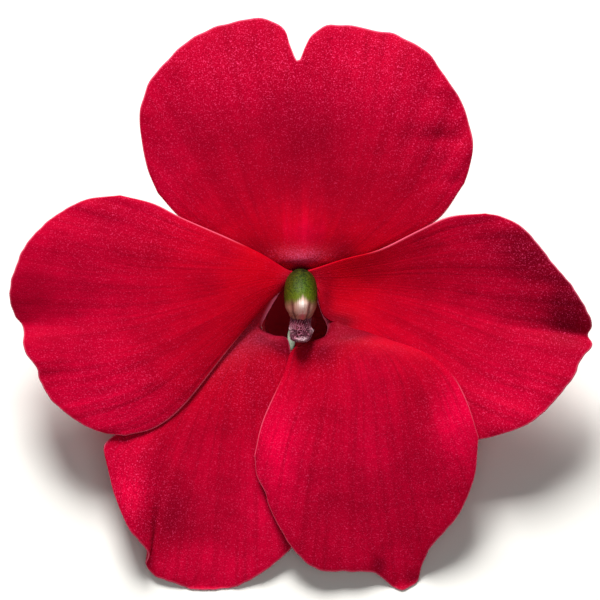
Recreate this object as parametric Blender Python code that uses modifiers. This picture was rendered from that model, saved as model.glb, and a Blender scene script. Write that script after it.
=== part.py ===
# A busy lizzie bloom, as picked: petals, spurred sepal, side sepals, stamen hood, anthers,
# pistil and stalk. It lies face up, leaning on its two lower petals and on its stalk.
import math

import bmesh
import bpy
import numpy as np
from mathutils import Matrix, Vector

MM = 0.001

# Driving dimensions, in millimetres and degrees. The flower has a frame of its own: X to the
# viewer's right, Y up to the notched petal, Z out of its face, with the throat at the origin.
FACE_TILT = 20.0           # how far the face leans from level, towards its lower petals
THROAT_HEIGHT = 9.62       # throat above the surface that the bloom lies on
THROAT_Y = 0.98            # throat behind the middle of the part
THROAT_X = 0.05
BLADE = 0.6                # petal and sepal thickness
ACROSS, ALONG = 25, 15     # grid of a petal lobe
CURVE_STEPS = 400          # places on a dense curve, from which even steps are taken
WELD = 0.01                # points nearer than this are one
SHARP_ANGLE = 40.0         # edges that turn more than this stay sharp

TORUS_Y, TORUS_Z = 1.1, -3.2         # where the petals' claws and the stamens are seated
TORUS_RADIUS, TORUS_LENGTH = 1.4, 1.3
SEAT_GAP = 0.3                       # clearance between a seated piece and its seat
TORUS_FORM = [             # (Y moved, share of its length, share of its radius) from its face back
    (0.0, 0.0, 1.0), (0.0, 0.4, 0.95), (0.05, 0.75, 0.7), (0.1, 1.0, 0.471),
]
TORUS_STEPS, TORUS_SIDES = 8, 24

STALK_RADIUS = 0.6
STALK_STEPS = 34
STALK_START = 0.6          # the stalk starts inside the torus, at this share of its length
STALK_PATH = [             # from behind the torus down to the surface and along it
    (0.05, 3.8, 4.4), (0.3, 4.6, 2.8), (0.9, 6.0, 1.45), (1.9, 8.2, 0.75), (3.1, 11.0, 0.52),
    (4.2, 14.0, 0.5), (5.0, 17.4, 0.5), (5.2, 21.0, 0.5),
]

SPUR_RADIUS, SPUR_TIP_RADIUS = 0.62, 0.42
SPUR_STEPS = 46
SPUR_END = 0.55            # share of the tip's radius at its very end
SPUR_INSET = 0.4           # how far inside the pouch the spur starts
SPUR_PATH = [              # from the bottom of the pouch down to the surface and round on it
    (-0.3, 1.5, 1.45), (-1.3, 2.4, 0.85), (-3.2, 3.0, 0.55), (-5.8, 3.1, 0.45),
    (-8.4, 2.2, 0.42), (-10.8, 0.2, 0.4), (-12.3, -2.8, 0.39), (-12.8, -6.2, 0.38),
    (-12.0, -9.6, 0.36), (-10.0, -12.6, 0.35), (-7.0, -14.6, 0.34),
]

# The pouch of the spurred sepal: rings of (centre Y, centre Z, half width, half height, lean in
# degrees), from its mouth just behind the throat back to the spur.
POUCH_RINGS = [
    (-2.75, -2.05, 3.4, 2.85, 18.0),
    (-2.9, -3.1, 3.1, 2.35, 16.0),
    (-2.85, -4.3, 2.45, 1.85, 12.0),
    (-2.6, -5.3, 1.45, 1.2, 8.0),
    (-2.5, -5.9, 0.8, 0.75, 4.0),
    (-2.4, -6.5, SPUR_RADIUS, SPUR_RADIUS, 0.0),
]
POUCH_WALL = 0.6
POUCH_FLOOR = 3            # the hollow ends at this ring
POUCH_LIP = 0.12           # share by which the mouth is broader at its lower lip
POUCH_SIDES = 28
POUCH_STEPS, HOLLOW_STEPS = 14, 10
MOUTH_LIFT = 0.9           # how far the shape that cuts the hollow stands out of the mouth

HOOD_WALL = 0.4
HOOD_STEPS, HOOD_SIDES = 20, 18
FILAMENTS = 5              # ribs on the hood
RIB_HEIGHT = 0.05          # share of the hood's radius
RIB_START = 0.55           # share of the hood's length where they begin
# The hood of joined stamens, a bent finger: (Y, Z, radius) from the torus over the throat.
HOOD_SPINE = [
    (1.1, -2.85, 0.85), (1.1, -2.0, 0.85), (1.0, -1.0, 0.92), (0.7, 0.0, 1.1), (0.15, 0.85, 1.28),
    (-0.65, 1.4, 1.36), (-1.45, 1.6, 1.3), (-2.1, 1.55, 1.08), (-2.6, 1.45, 0.82),
]
ANTHER_SPINE = [           # the frilled anthers below the hood
    (-2.9, 1.4, 0.74), (-3.3, 1.3, 0.92), (-3.7, 1.2, 0.98), (-4.1, 1.08, 0.84), (-4.42, 1.0, 0.5),
]
ANTHER_STEPS, ANTHER_SIDES = 12, 30
ANTHER_LOBES, ANTHER_LOBE_HEIGHT, ANTHER_TURN = 5, 0.13, 0.6      # heights are shares of the radius
CURLS, CURL_HEIGHT, CURL_TWIST = 9, 0.06, 7.0
PISTIL_STEPS, PISTIL_SIDES = 14, 10
PISTIL_SPINE = [           # the ovary and its short style, inside the hood
    (1.1, -2.85, 0.2), (1.08, -2.0, 0.22), (0.95, -1.0, 0.3), (0.65, 0.0, 0.48), (0.15, 0.72, 0.58),
    (-0.55, 1.2, 0.46), (-1.15, 1.4, 0.18),
]

# Petal lobes. A lobe is a ladder of rungs, each a pair of points on its two sides, from the torus
# out to its shoulders, then its rim from the first side round to the second.
UPPER = {
    "rungs": [
        ((-0.75, 2.5, -3.0), (0.75, 2.5, -3.0)),
        ((-0.85, 2.5, -1.7), (0.85, 2.5, -1.7)),
        ((-1.4, 2.55, -0.85), (1.4, 2.55, -0.85)),
        ((-3.4, 2.8, -0.7), (3.4, 2.7, -0.7)),
        ((-6.4, 3.8, -0.65), (6.6, 3.5, -0.65)),
        ((-9.9, 5.9, -0.6), (11.1, 5.8, -0.6)),
        ((-11.9, 8.0, -0.5), (13.4, 8.8, -0.4)),
    ],
    "rim": [
        (-13.1, 11.7, -0.3), (-13.4, 14.2, -0.2), (-12.6, 17.1, -0.2), (-10.5, 19.6, -0.4),
        (-7.0, 21.7, -0.7), (-3.6, 22.4, -0.9), (-1.4, 21.4, -0.7), (-0.3, 18.8, -0.2),
        (0.9, 21.1, -0.7), (3.1, 21.9, -0.9), (7.1, 21.3, -0.8), (9.9, 19.9, -0.5),
        (12.4, 16.7, -0.2), (13.6, 14.2, -0.1), (14.1, 12.1, -0.2), (13.8, 10.1, -0.3),
    ],
    "cup": 0.8,
    "ripples": (4.0, 0.14, 0.1),
    "creases": [(0.47, 0.09, -0.3, 0.3), (0.86, 0.05, -0.25, 0.6)],
}
LEFT_UPPER = {
    "rungs": [
        ((-1.3, 2.1, -3.0), (-1.7, 1.0, -3.0)),
        ((-1.4, 2.0, -1.6), (-1.85, 0.85, -1.6)),
        ((-1.6, 1.9, -0.35), (-2.0, 0.2, -0.35)),
        ((-3.3, 2.9, 0.3), (-3.3, -1.6, 0.3)),
        ((-6.0, 4.2, 0.4), (-6.1, -4.9, 0.5)),
        ((-9.9, 5.9, 0.45), (-9.7, -9.4, 0.5)),
        ((-12.3, 7.1, 0.4), (-12.1, -11.3, 0.5)),
        ((-15.0, 7.8, 0.3), (-14.6, -12.0, 0.4)),
    ],
    "rim": [
        (-17.9, 7.4, 0.2), (-20.6, 5.9, 0.1), (-22.6, 3.9, 0.0), (-23.7, 1.6, -0.1),
        (-24.1, -0.4, -0.2), (-23.8, -1.9, -0.3), (-23.0, -3.1, -0.6), (-22.9, -4.9, -0.2),
        (-21.9, -6.3, -0.1), (-21.6, -7.4, -0.2), (-20.5, -9.2, 0.0), (-18.5, -10.8, 0.2),
        (-16.6, -11.7, 0.3),
    ],
    "cup": 0.7,
    "ripples": (3.0, 0.1, 0.3),
    "creases": [(0.5, 0.06, -0.35, 0.75)],
}
LEFT_LOWER = {
    "rungs": [
        ((-1.75, 1.25, -2.9), (-1.5, 0.3, -2.9)),
        ((-2.1, 1.0, -2.0), (-1.6, 0.2, -2.0)),
        ((-2.9, 0.1, -1.1), (-1.85, -0.05, -1.05)),
        ((-5.0, -1.6, -0.75), (-3.0, -2.1, -0.85)),
        ((-6.9, -3.7, -0.65), (-3.35, -3.2, -0.85)),
        ((-8.9, -6.4, -0.6), (-2.6, -4.1, -0.8)),
        ((-11.0, -8.9, -0.55), (-1.4, -4.9, -0.7)),
        ((-13.9, -11.0, -0.5), (-0.4, -7.6, -0.6)),
        ((-16.2, -12.7, -0.4), (0.6, -12.8, -0.6)),
        ((-16.1, -14.4, -0.3), (0.4, -17.8, -0.6)),
    ],
    "rim": [
        (-15.5, -16.7, -0.2), (-14.3, -19.5, 0.1), (-12.7, -21.6, 0.3), (-12.9, -22.7, -0.7),
        (-12.1, -23.6, -1.0), (-10.5, -24.2, -1.1), (-9.2, -24.7, -1.2), (-7.5, -24.8, -1.25),
        (-5.3, -24.4, -1.1), (-3.3, -23.3, -0.9), (-1.1, -21.5, -0.8), (0.0, -19.7, -0.7),
    ],
    "cup": 0.3,
    "ripples": (3.0, 0.1, 0.0),
    "creases": [(0.3, 0.06, -0.55, 0.6), (0.2, 0.07, 0.4, 0.5)],
}
RIGHT_UPPER = {
    "rungs": [
        ((1.3, 2.1, -3.0), (1.7, 1.0, -3.0)),
        ((1.4, 2.0, -1.6), (1.85, 0.85, -1.6)),
        ((1.5, 1.85, -0.35), (1.9, 0.1, -0.45)),
        ((3.4, 2.5, 0.3), (2.7, -2.0, -0.15)),
        ((6.4, 3.3, 0.4), (4.7, -3.8, 0.0)),
        ((9.7, 4.9, 0.45), (7.8, -6.9, 0.1)),
        ((12.2, 6.0, 0.5), (10.9, -10.6, 0.1)),
        ((15.1, 6.3, 0.6), (14.2, -12.4, 0.15)),
    ],
    "rim": [
        (16.5, 6.0, 0.7), (18.4, 4.9, 0.75), (20.7, 2.1, 0.7), (22.3, 0.2, 0.6),
        (23.5, -1.8, 0.3), (23.9, -2.9, 0.0), (23.6, -3.8, -0.4), (23.9, -4.6, 0.0),
        (23.0, -5.7, 0.2), (22.3, -7.2, 0.4), (20.7, -9.2, 0.5), (18.8, -10.9, 0.5),
        (16.3, -11.9, 0.3),
    ],
    "cup": -0.35,
    "ripples": (3.0, 0.1, 0.55),
    "creases": [(0.5, 0.06, -0.35, 0.7)],
}
RIGHT_LOWER = {
    "rungs": [
        ((1.75, 1.25, -2.9), (1.5, 0.3, -2.9)),
        ((2.1, 1.0, -2.0), (1.6, 0.2, -2.0)),
        ((2.8, 0.0, -1.2), (1.55, -0.3, -1.15)),
        ((3.5, -1.7, -1.0), (2.1, -2.0, -0.95)),
        ((4.2, -3.0, -0.2), (2.4, -3.3, -0.45)),
        ((5.6, -3.65, 0.8), (1.9, -4.0, -0.1)),
        ((7.4, -4.2, 1.3), (0.5, -4.4, 0.1)),
        ((10.2, -5.2, 1.4), (-0.8, -5.0, 0.25)),
        ((12.2, -6.8, 1.4), (-1.6, -7.2, 0.4)),
        ((13.5, -9.1, 1.4), (-3.2, -10.8, 0.5)),
        ((14.5, -12.1, 1.2), (-3.9, -13.6, 0.5)),
    ],
    "rim": [
        (14.2, -15.2, 0.9), (13.2, -17.9, 0.6), (12.0, -19.6, 0.3), (10.6, -21.2, -0.2),
        (9.9, -22.8, -0.9), (9.5, -24.1, -1.2), (8.3, -24.9, -1.25), (7.1, -24.2, -0.9),
        (6.0, -23.3, -0.4), (4.0, -23.2, 0.0), (1.3, -23.0, 0.2), (-0.3, -21.8, 0.3),
        (-1.6, -20.0, 0.4), (-2.7, -17.8, 0.4), (-3.0, -16.7, 0.4), (-3.7, -15.3, 0.5),
    ],
    "cup": 0.9,
    "ripples": (3.0, 0.1, 0.2),
    "creases": [(0.42, 0.07, -0.3, 0.5), (0.62, 0.08, -0.2, 0.5)],
}

KEEL_WIDTH = 0.8
KEEL_STEPS = 12
KEEL_ARCH = 0.12, 0.8      # its width follows half a sine wave, from this share of it and for this one
KEEL_PATH = [              # the green keel on the back of the notched petal
    (0.0, 4.2, -1.0), (0.0, 6.5, -0.55), (0.0, 9.5, -0.25), (0.0, 12.5, -0.1), (0.0, 15.0, -0.25),
]
SEPAL_STEPS, SEPAL_ACROSS = 12, 8
SEPAL_ARCH = 0.25          # share of its half width by which a side sepal's edges lie lower
# A side sepal: (X, Y, Z, half width) from the torus out behind the side petals.
SIDE_SEPAL = [
    (1.45, 2.0, -4.05, 0.45), (2.35, 2.75, -3.7, 1.0), (3.6, 3.7, -3.15, 1.25), (5.0, 4.5, -2.6, 0.95),
    (6.3, 5.1, -2.2, 0.45), (7.0, 5.3, -2.1, 0.15),
]

PETAL_RED = (0.55, 0.002, 0.03)
LEAF_GREEN = (0.19, 0.27, 0.06)
SPUR_GREEN = (0.34, 0.22, 0.10)
STALK_GREEN = (0.24, 0.17, 0.06)
HOOD_GREEN = (0.15, 0.2, 0.03)
ANTHER_MAUVE = (0.42, 0.16, 0.24)
OVARY_GREEN = (0.2, 0.34, 0.08)


def flower_to_part():
    """Where the flower's frame stands in the part's: leaning back, with the throat off the surface."""
    lean = Matrix.Rotation(math.radians(FACE_TILT), 4, "X")
    return Matrix.Translation(Vector((THROAT_X, THROAT_Y, THROAT_HEIGHT)) * MM) @ lean


def in_part(x, y, z):
    """A point of the flower's frame in the part's, both in millimetres."""
    return tuple(flower_to_part() @ (Vector((x, y, z)) * MM) / MM)


def smooth_curve(points, count):
    """A Catmull-Rom curve through the points, one span between each pair, at count places."""
    p = np.asarray(points, float)
    p = np.vstack([2 * p[0] - p[1], p, 2 * p[-1] - p[-2]])
    t = np.linspace(0, len(p) - 3, count)
    k = np.minimum(t.astype(int), len(p) - 4)
    s = (t - k)[:, None]
    a, b, c, d = p[k], p[k + 1], p[k + 2], p[k + 3]
    return 0.5 * (2 * b + (c - a) * s + (2 * a - 5 * b + 4 * c - d) * s**2 + (3 * b - a - 3 * c + d) * s**3)


def even_steps(curve, count):
    """Places along a dense curve, count of them, at even distances."""
    length = np.concatenate([[0], np.cumsum(np.linalg.norm(np.diff(curve, axis=0), axis=1))])
    return np.interp(np.linspace(0, length[-1], count), length, np.linspace(0, 1, len(curve)))


def at(curve, place):
    """The points of a dense curve at places from 0 to 1."""
    steps = np.linspace(0, 1, len(curve))
    return np.stack([np.interp(place, steps, curve[:, k]) for k in range(3)], axis=-1)


def relief(lobe, u, v):
    """How far the blade stands forward: its cup, ripples that grow to the rim, and creases."""
    middle = 4 * u * (1 - u)
    count, height, phase = lobe["ripples"]
    z = lobe["cup"] * middle * np.sin(math.pi * np.clip(v, 0, 1) ** 1.4)
    z += height * np.minimum(1, 2 * middle) * v**2 * np.sin(2 * math.pi * (count * u + phase))
    for place, width, depth, start in lobe["creases"]:
        grow = np.clip((v - start) / (1 - start), 0, 1)
        z += depth * grow**1.5 * np.exp(-(((u - place) / width) ** 2))
    return z


def lobe_grid(lobe):
    """Rows of points over a lobe, from the torus to the rim: rungs bent out to follow the rim."""
    rungs = np.array(lobe["rungs"], float)
    first = smooth_curve(rungs[:, 0], CURVE_STEPS)
    second = smooth_curve(rungs[:, 1], CURVE_STEPS)
    rim_points = [lobe["rungs"][-1][0], *lobe["rim"], lobe["rungs"][-1][1]]
    rim = smooth_curve(rim_points, CURVE_STEPS)
    v_places = even_steps((first + second) / 2, ALONG)
    u = np.linspace(0, 1, ACROSS)[None, :]
    v = np.linspace(0, 1, ALONG)[:, None]
    a, b = at(first, v_places)[:, None, :], at(second, v_places)[:, None, :]
    edge = at(rim, even_steps(rim, ACROSS))[None, :, :]
    straight = (1 - u[..., None]) * first[-1] + u[..., None] * second[-1]
    grid = (1 - u[..., None]) * a + u[..., None] * b + v[..., None] ** 2 * (edge - straight)
    grid[..., 2] += relief(lobe, u, v)
    return grid


def grid_mesh(name, grid, closed=False):
    """A mesh of a grid of points in millimetres, its cells split the same way all over."""
    rows, columns = grid.shape[:2]
    mesh = bpy.data.meshes.new(name)
    last = columns if closed else columns - 1
    faces = []
    for r in range(rows - 1):
        for c in range(last):
            near, far = r * columns, (r + 1) * columns
            faces.append((near + c, near + (c + 1) % columns, far + (c + 1) % columns, far + c))
    mesh.from_pydata([tuple(p * MM) for p in grid.reshape(-1, 3)], [], faces)
    work = bmesh.new()
    work.from_mesh(mesh)
    bmesh.ops.triangulate(work, faces=work.faces[:], quad_method="FIXED")
    work.to_mesh(mesh)
    work.free()
    return mesh


def collection(name, hidden=False):
    made = bpy.data.collections.new(name)
    made.hide_render = hidden
    bpy.context.scene.collection.children.link(made)
    return made


def add_object(name, data, group):
    made = bpy.data.objects.new(name, data)
    group.objects.link(made)
    return made


def finish_material(obj, name, colour, roughness):
    material = bpy.data.materials.get(name) or bpy.data.materials.new(name)
    material.use_nodes = True
    shader = material.node_tree.nodes["Principled BSDF"]
    shader.inputs["Base Color"].default_value = (*colour, 1)
    shader.inputs["Roughness"].default_value = roughness
    shader.inputs["Metallic"].default_value = 0.0
    obj.data.materials.clear()
    obj.data.materials.append(material)


def bake(obj):
    """The object with its modifiers applied, its caps welded, and its place in its mesh."""
    bpy.context.view_layer.update()
    graph = bpy.context.evaluated_depsgraph_get()
    mesh = bpy.data.meshes.new_from_object(obj.evaluated_get(graph))
    mesh.transform(obj.matrix_world)
    work = bmesh.new()
    work.from_mesh(mesh)
    bmesh.ops.remove_doubles(work, verts=work.verts[:], dist=WELD * MM)
    bmesh.ops.triangulate(work, faces=work.faces[:])
    work.to_mesh(mesh)
    work.free()
    made = add_object(obj.name + "_baked", mesh, obj.users_collection[0])
    name = obj.name
    bpy.data.objects.remove(obj)
    made.name = name
    return made


def combine(obj, other, operation):
    """Joins the other solid to this one, or cuts it away, and removes it."""
    step = obj.modifiers.new(operation.lower(), "BOOLEAN")
    step.operation = operation
    step.object = other
    step.solver = "EXACT"
    made = bake(obj)
    bpy.data.objects.remove(other)
    return made


def press_flat(obj):
    """Flattens what would reach below the surface that the bloom lies on."""
    for vertex in obj.data.vertices:
        vertex.co.z = max(vertex.co.z, 0.0)


def blade(name, grid, group):
    """A thin solid of even thickness round a grid of points in the flower's frame."""
    obj = add_object(name, grid_mesh(name, grid), group)
    wall = obj.modifiers.new("thickness", "SOLIDIFY")
    wall.thickness = BLADE * MM
    wall.offset = 0
    obj.matrix_world = flower_to_part()
    return bake(obj)


def tube(name, path, radii, group, sides=2, in_flower=False):
    """A round stem along a path, with a radius of its own at each point and closed ends."""
    curve = bpy.data.curves.new(name, "CURVE")
    curve.dimensions = "3D"
    curve.bevel_depth = MM
    curve.bevel_resolution = sides
    curve.use_fill_caps = True
    line = curve.splines.new("POLY")
    line.points.add(len(path) - 1)
    for point, place, radius in zip(line.points, path, radii):
        point.co = (*(Vector(place) * MM), 1)
        point.radius = radius
    obj = add_object(name, curve, group)
    if in_flower:
        obj.matrix_world = flower_to_part()
    return bake(obj)


def spine_frames(spine, count):
    """Places, directions and radii along a spine of (Y, Z, radius) in the flower's middle plane."""
    line = smooth_curve([(y, z, r) for y, z, r in spine], count)
    way = np.gradient(line[:, :2], axis=0)
    way /= np.linalg.norm(way, axis=1)[:, None]
    return line[:, :2], way, line[:, 2]


def spine_rings(spine, count, sides, shape=None):
    """Rings of points square to a spine; shape gives each its form as a function of angle and share."""
    place, way, radius = spine_frames(spine, count)
    turn = np.linspace(0, 2 * math.pi, sides, endpoint=False)[None, :]
    share = np.linspace(0, 1, count)[:, None]
    r = radius[:, None] * (np.ones((count, sides)) if shape is None else shape(turn, share))
    side, out = r * np.cos(turn), r * np.sin(turn)
    y = place[:, :1] - out * way[:, 1:]
    z = place[:, 1:] + out * way[:, :1]
    return np.stack([side, y, z], axis=-1)


def capped(name, rings, group, cap_start=True, cap_end=True):
    """A skin over closed rings in the flower's frame, with flat ends where they are capped."""
    mesh = grid_mesh(name, rings, closed=True)
    work = bmesh.new()
    work.from_mesh(mesh)
    rows, sides = rings.shape[:2]
    work.verts.ensure_lookup_table()
    ends = [k for k, wanted in ((0, cap_start), (rows - 1, cap_end)) if wanted]
    for row in ends:
        work.faces.new([work.verts[row * sides + k] for k in range(sides)])
    bmesh.ops.recalc_face_normals(work, faces=work.faces[:])
    bmesh.ops.triangulate(work, faces=work.faces[:], quad_method="FIXED")
    work.to_mesh(mesh)
    work.free()
    obj = add_object(name, mesh, group)
    obj.matrix_world = flower_to_part()
    return obj


def petal(name, lobes, group, spare):
    """A petal of one lobe, or a pair of lobes grown together at the claw."""
    obj = blade(name, lobe_grid(lobes[0]), group)
    for lobe in lobes[1:]:
        obj = combine(obj, blade(name + "_lobe", lobe_grid(lobe), spare), "UNION")
    press_flat(obj)
    return obj


def upper_petal(group, spare):
    obj = petal("petal_upper", [UPPER], group, spare)
    path = [tuple(p) for p in smooth_curve(KEEL_PATH, KEEL_STEPS)]
    start, reach = KEEL_ARCH
    shares = [start + reach * k / KEEL_STEPS for k in range(KEEL_STEPS)]
    radii = [KEEL_WIDTH / 2 * math.sin(math.pi * share) for share in shares]
    keel = tube("keel", path, radii, spare, in_flower=True)
    return combine(obj, keel, "UNION")


def pouch_rings(grow, first, last, lift=0.0):
    """The pouch's rings, widened or narrowed by grow; lift carries the first one out of the mouth."""
    turn = np.linspace(0, 2 * math.pi, POUCH_SIDES, endpoint=False)
    rings = []
    for k, (y, z, wide, high, lean) in enumerate(POUCH_RINGS[first:last]):
        tilt = math.radians(lean)
        rise = lift if k == 0 else 0.0
        up = (high + grow) * np.sin(turn)
        across = (wide + grow) * np.cos(turn) * (1 - POUCH_LIP * np.sin(turn))
        rings.append(np.stack([
            across,
            y + up * math.cos(tilt) + rise * math.sin(tilt),
            z - up * math.sin(tilt) + rise * math.cos(tilt),
        ], axis=-1))
    return np.array(rings)


def spurred_sepal(group, spare):
    """The lower sepal: an open pouch behind the throat that narrows into a long curved spur."""
    count = len(POUCH_RINGS)
    pouch = smooth_rings(pouch_rings(0.0, 0, count), POUCH_STEPS)
    obj = bake(capped("sepal_spurred", pouch, group))
    hollow = smooth_rings(pouch_rings(-POUCH_WALL, 0, POUCH_FLOOR + 1, MOUTH_LIFT), HOLLOW_STEPS)
    obj = combine(obj, bake(capped("pouch_hollow", hollow, spare)), "DIFFERENCE")
    back_y, back_z = POUCH_RINGS[-1][:2]
    start = in_part(0, back_y, back_z + SPUR_INSET)
    path = smooth_curve([start, *SPUR_PATH], SPUR_STEPS)
    share = np.linspace(0, 1, len(path))
    radii = SPUR_RADIUS + (SPUR_TIP_RADIUS - SPUR_RADIUS) * share
    radii[-1] *= SPUR_END
    obj = combine(obj, tube("spur", [tuple(p) for p in path], radii, spare), "UNION")
    press_flat(obj)
    return obj


def smooth_rings(rings, count):
    """More rings, on smooth curves through the ones given."""
    sides = rings.shape[1]
    return np.stack([smooth_curve(rings[:, k], count) for k in range(sides)], axis=1)


def side_sepal(name, side, group):
    """A small pointed sepal on one side of the torus, arched along its midrib."""
    line = smooth_curve(SIDE_SEPAL, SEPAL_STEPS)
    half = line[:, 3:]
    way = np.gradient(line[:, :2], axis=0)
    way /= np.linalg.norm(way, axis=1)[:, None]
    u = np.linspace(-1, 1, SEPAL_ACROSS)[None, :]
    x = line[:, :1] - way[:, 1:] * half * u
    y = line[:, 1:2] + way[:, :1] * half * u
    z = line[:, 2:3] - SEPAL_ARCH * half * u**2
    grid = np.stack([x * side, y, z], axis=-1)
    return blade(name, grid, group)


def stamen_hood(group):
    """The cap of five joined stamens, hollow round the pistil, open at its foot."""
    rings = spine_rings(HOOD_SPINE, HOOD_STEPS, HOOD_SIDES, hood_form)
    obj = capped("stamen_hood", rings, group, cap_start=False)
    wall = obj.modifiers.new("wall", "SOLIDIFY")
    wall.thickness = HOOD_WALL * MM
    wall.offset = -1
    return bake(obj)


def hood_form(turn, share):
    """The filaments show as soft ribs that grow towards the free end of the cap."""
    grow = np.clip((share - RIB_START) / (1 - RIB_START), 0, 1)
    return 1 + RIB_HEIGHT * grow * np.cos(FILAMENTS * turn)


def anthers(group):
    """The ring of anthers below the cap, frilled into lobes."""
    rings = spine_rings(ANTHER_SPINE, ANTHER_STEPS, ANTHER_SIDES, anther_form)
    return bake(capped("anthers", rings, group))


def anther_form(turn, share):
    """Lobes and smaller curls that wind round them, strongest at the middle of the spine."""
    frill = np.sin(math.pi * share)
    lobes = ANTHER_LOBE_HEIGHT * np.cos(ANTHER_LOBES * turn + ANTHER_TURN)
    curls = CURL_HEIGHT * np.cos(CURLS * turn + CURL_TWIST * share)
    return 1 + frill * (lobes + curls)


def pistil(group):
    """The green ovary, tapering into its style."""
    return bake(capped("pistil", spine_rings(PISTIL_SPINE, PISTIL_STEPS, PISTIL_SIDES), group))


def stalk(group, spare):
    """The flower stalk, cut at its far end, with the torus that the other pieces are seated on."""
    face = TORUS_Z - SEAT_GAP
    start = in_part(0, TORUS_Y, face - STALK_START * TORUS_LENGTH)
    path = smooth_curve([start, *STALK_PATH], STALK_STEPS)
    obj = tube("stalk", [tuple(p) for p in path], [STALK_RADIUS] * len(path), group, sides=3)
    knob = [(TORUS_Y + y, face - length * TORUS_LENGTH, radius * TORUS_RADIUS)
            for y, length, radius in TORUS_FORM]
    torus = bake(capped("torus", spine_rings(knob, TORUS_STEPS, TORUS_SIDES), spare))
    obj = combine(obj, torus, "UNION")
    press_flat(obj)
    return obj


def shade_smooth(obj):
    obj.data.shade_smooth()
    obj.data.set_sharp_from_angle(angle=math.radians(SHARP_ANGLE))


def main():
    for old in list(bpy.data.objects):
        bpy.data.objects.remove(old)
    group = collection("busy_lizzie_bloom")
    spare = collection("cutters")
    finishes = [
        (upper_petal(group, spare), "petal", PETAL_RED, 0.45),
        (petal("petal_pair_left", [LEFT_UPPER, LEFT_LOWER], group, spare), "petal", PETAL_RED, 0.45),
        (petal("petal_pair_right", [RIGHT_UPPER, RIGHT_LOWER], group, spare), "petal", PETAL_RED, 0.45),
        (spurred_sepal(group, spare), "spurred_sepal", SPUR_GREEN, 0.5),
        (side_sepal("sepal_left", -1, group), "side_sepal", LEAF_GREEN, 0.5),
        (side_sepal("sepal_right", 1, group), "side_sepal", LEAF_GREEN, 0.5),
        (stamen_hood(group), "stamen_hood", HOOD_GREEN, 0.35),
        (anthers(group), "anthers", ANTHER_MAUVE, 0.6),
        (pistil(group), "pistil", OVARY_GREEN, 0.5),
        (stalk(group, spare), "stalk", STALK_GREEN, 0.5),
    ]
    for obj, name, colour, roughness in finishes:
        finish_material(obj, name, colour, roughness)
        shade_smooth(obj)


main()
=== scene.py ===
import bpy
import numpy as np
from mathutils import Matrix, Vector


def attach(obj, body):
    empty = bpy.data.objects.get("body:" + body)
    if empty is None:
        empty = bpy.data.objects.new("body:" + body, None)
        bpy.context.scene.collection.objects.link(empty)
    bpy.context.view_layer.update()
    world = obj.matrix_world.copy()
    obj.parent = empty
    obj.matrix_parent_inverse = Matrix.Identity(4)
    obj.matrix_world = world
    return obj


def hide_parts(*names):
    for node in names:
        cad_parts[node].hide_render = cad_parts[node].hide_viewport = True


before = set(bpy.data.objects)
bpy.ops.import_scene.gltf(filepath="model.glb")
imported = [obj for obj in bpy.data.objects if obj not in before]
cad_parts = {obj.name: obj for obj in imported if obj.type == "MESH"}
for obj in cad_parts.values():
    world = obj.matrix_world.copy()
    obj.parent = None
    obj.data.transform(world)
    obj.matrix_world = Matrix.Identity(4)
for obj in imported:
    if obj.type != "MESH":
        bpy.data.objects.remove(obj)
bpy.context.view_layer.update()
print("frame loaded, nodes:", len(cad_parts))

# Shapes are worked out in millimetres in the flower's own frame: x to the viewer's right, y up to
# the notched petal, z out of the face, with the throat at the origin. The part lies face up.
mm = 0.001
bloom = {
    "lean": 20.0,                       # degrees that the face leans from level, to its lower petals
    "throat": (0.05, 0.98, 9.62),       # where the throat stands in the part, mm
    "seed": 11,
}


def toPart(points):
    # flower frame to part frame: a turn about x by the lean, then a lift to the throat
    lean = np.radians(bloom["lean"])
    x, y, z = np.moveaxis(np.asarray(points, float), -1, 0)
    turned = np.stack([x, y * np.cos(lean) - z * np.sin(lean), y * np.sin(lean) + z * np.cos(lean)], -1)
    return turned + bloom["throat"]


def smoothCurve(points, count):
    # Catmull-Rom: each span is a cubic through its two ends, aimed along its neighbours' chords
    p = np.asarray(points, float)
    p = np.vstack([2 * p[0] - p[1], p, 2 * p[-1] - p[-2]])
    t = np.linspace(0, len(p) - 3, count)
    k = np.minimum(t.astype(int), len(p) - 4)
    s = (t - k)[:, None]
    a, b, c, d = p[k], p[k + 1], p[k + 2], p[k + 3]
    return 0.5 * (2 * b + (c - a) * s + (2 * a - 5 * b + 4 * c - d) * s**2 + (3 * b - a - 3 * c + d) * s**3)


def placesAt(curve, shares):
    # places from 0 to 1 along a dense curve where given shares of its length are reached
    length = np.concatenate([[0], np.cumsum(np.linalg.norm(np.diff(curve, axis=0), axis=1))])
    return np.interp(shares * length[-1], length, np.linspace(0, 1, len(curve)))


def pointsAt(curve, places):
    # points of a dense curve at places from 0 to 1
    steps = np.linspace(0, 1, len(curve))
    return np.stack([np.interp(places, steps, curve[:, k]) for k in range(curve.shape[1])], axis=-1)


def ramp(value, low, high):
    # 0 below low, 1 above high, an S curve between
    t = np.clip((value - low) / (high - low), 0, 1)
    return t * t * (3 - 2 * t)


def bell(value, middle, width):
    # 1 at the middle, falling off with the square of the distance in widths
    return np.exp(-(((value - middle) / width) ** 2))


def wave(count):
    # the sine of a count of whole turns
    return np.sin(2 * np.pi * count)


def unit(vectors):
    # each vector over its length
    return vectors / np.maximum(np.linalg.norm(vectors, axis=-1, keepdims=True), 1e-9)


def shareRows(count):
    # shares from 0 to 1 down a column, one for each row of a grid
    return np.linspace(0, 1, count)[:, None]


def pressFlat(points, lowest=0):
    # what would reach below the surface that the bloom lies on lies flat on it
    points[:, 2] = np.maximum(points[:, 2], lowest)
    return points


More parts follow.
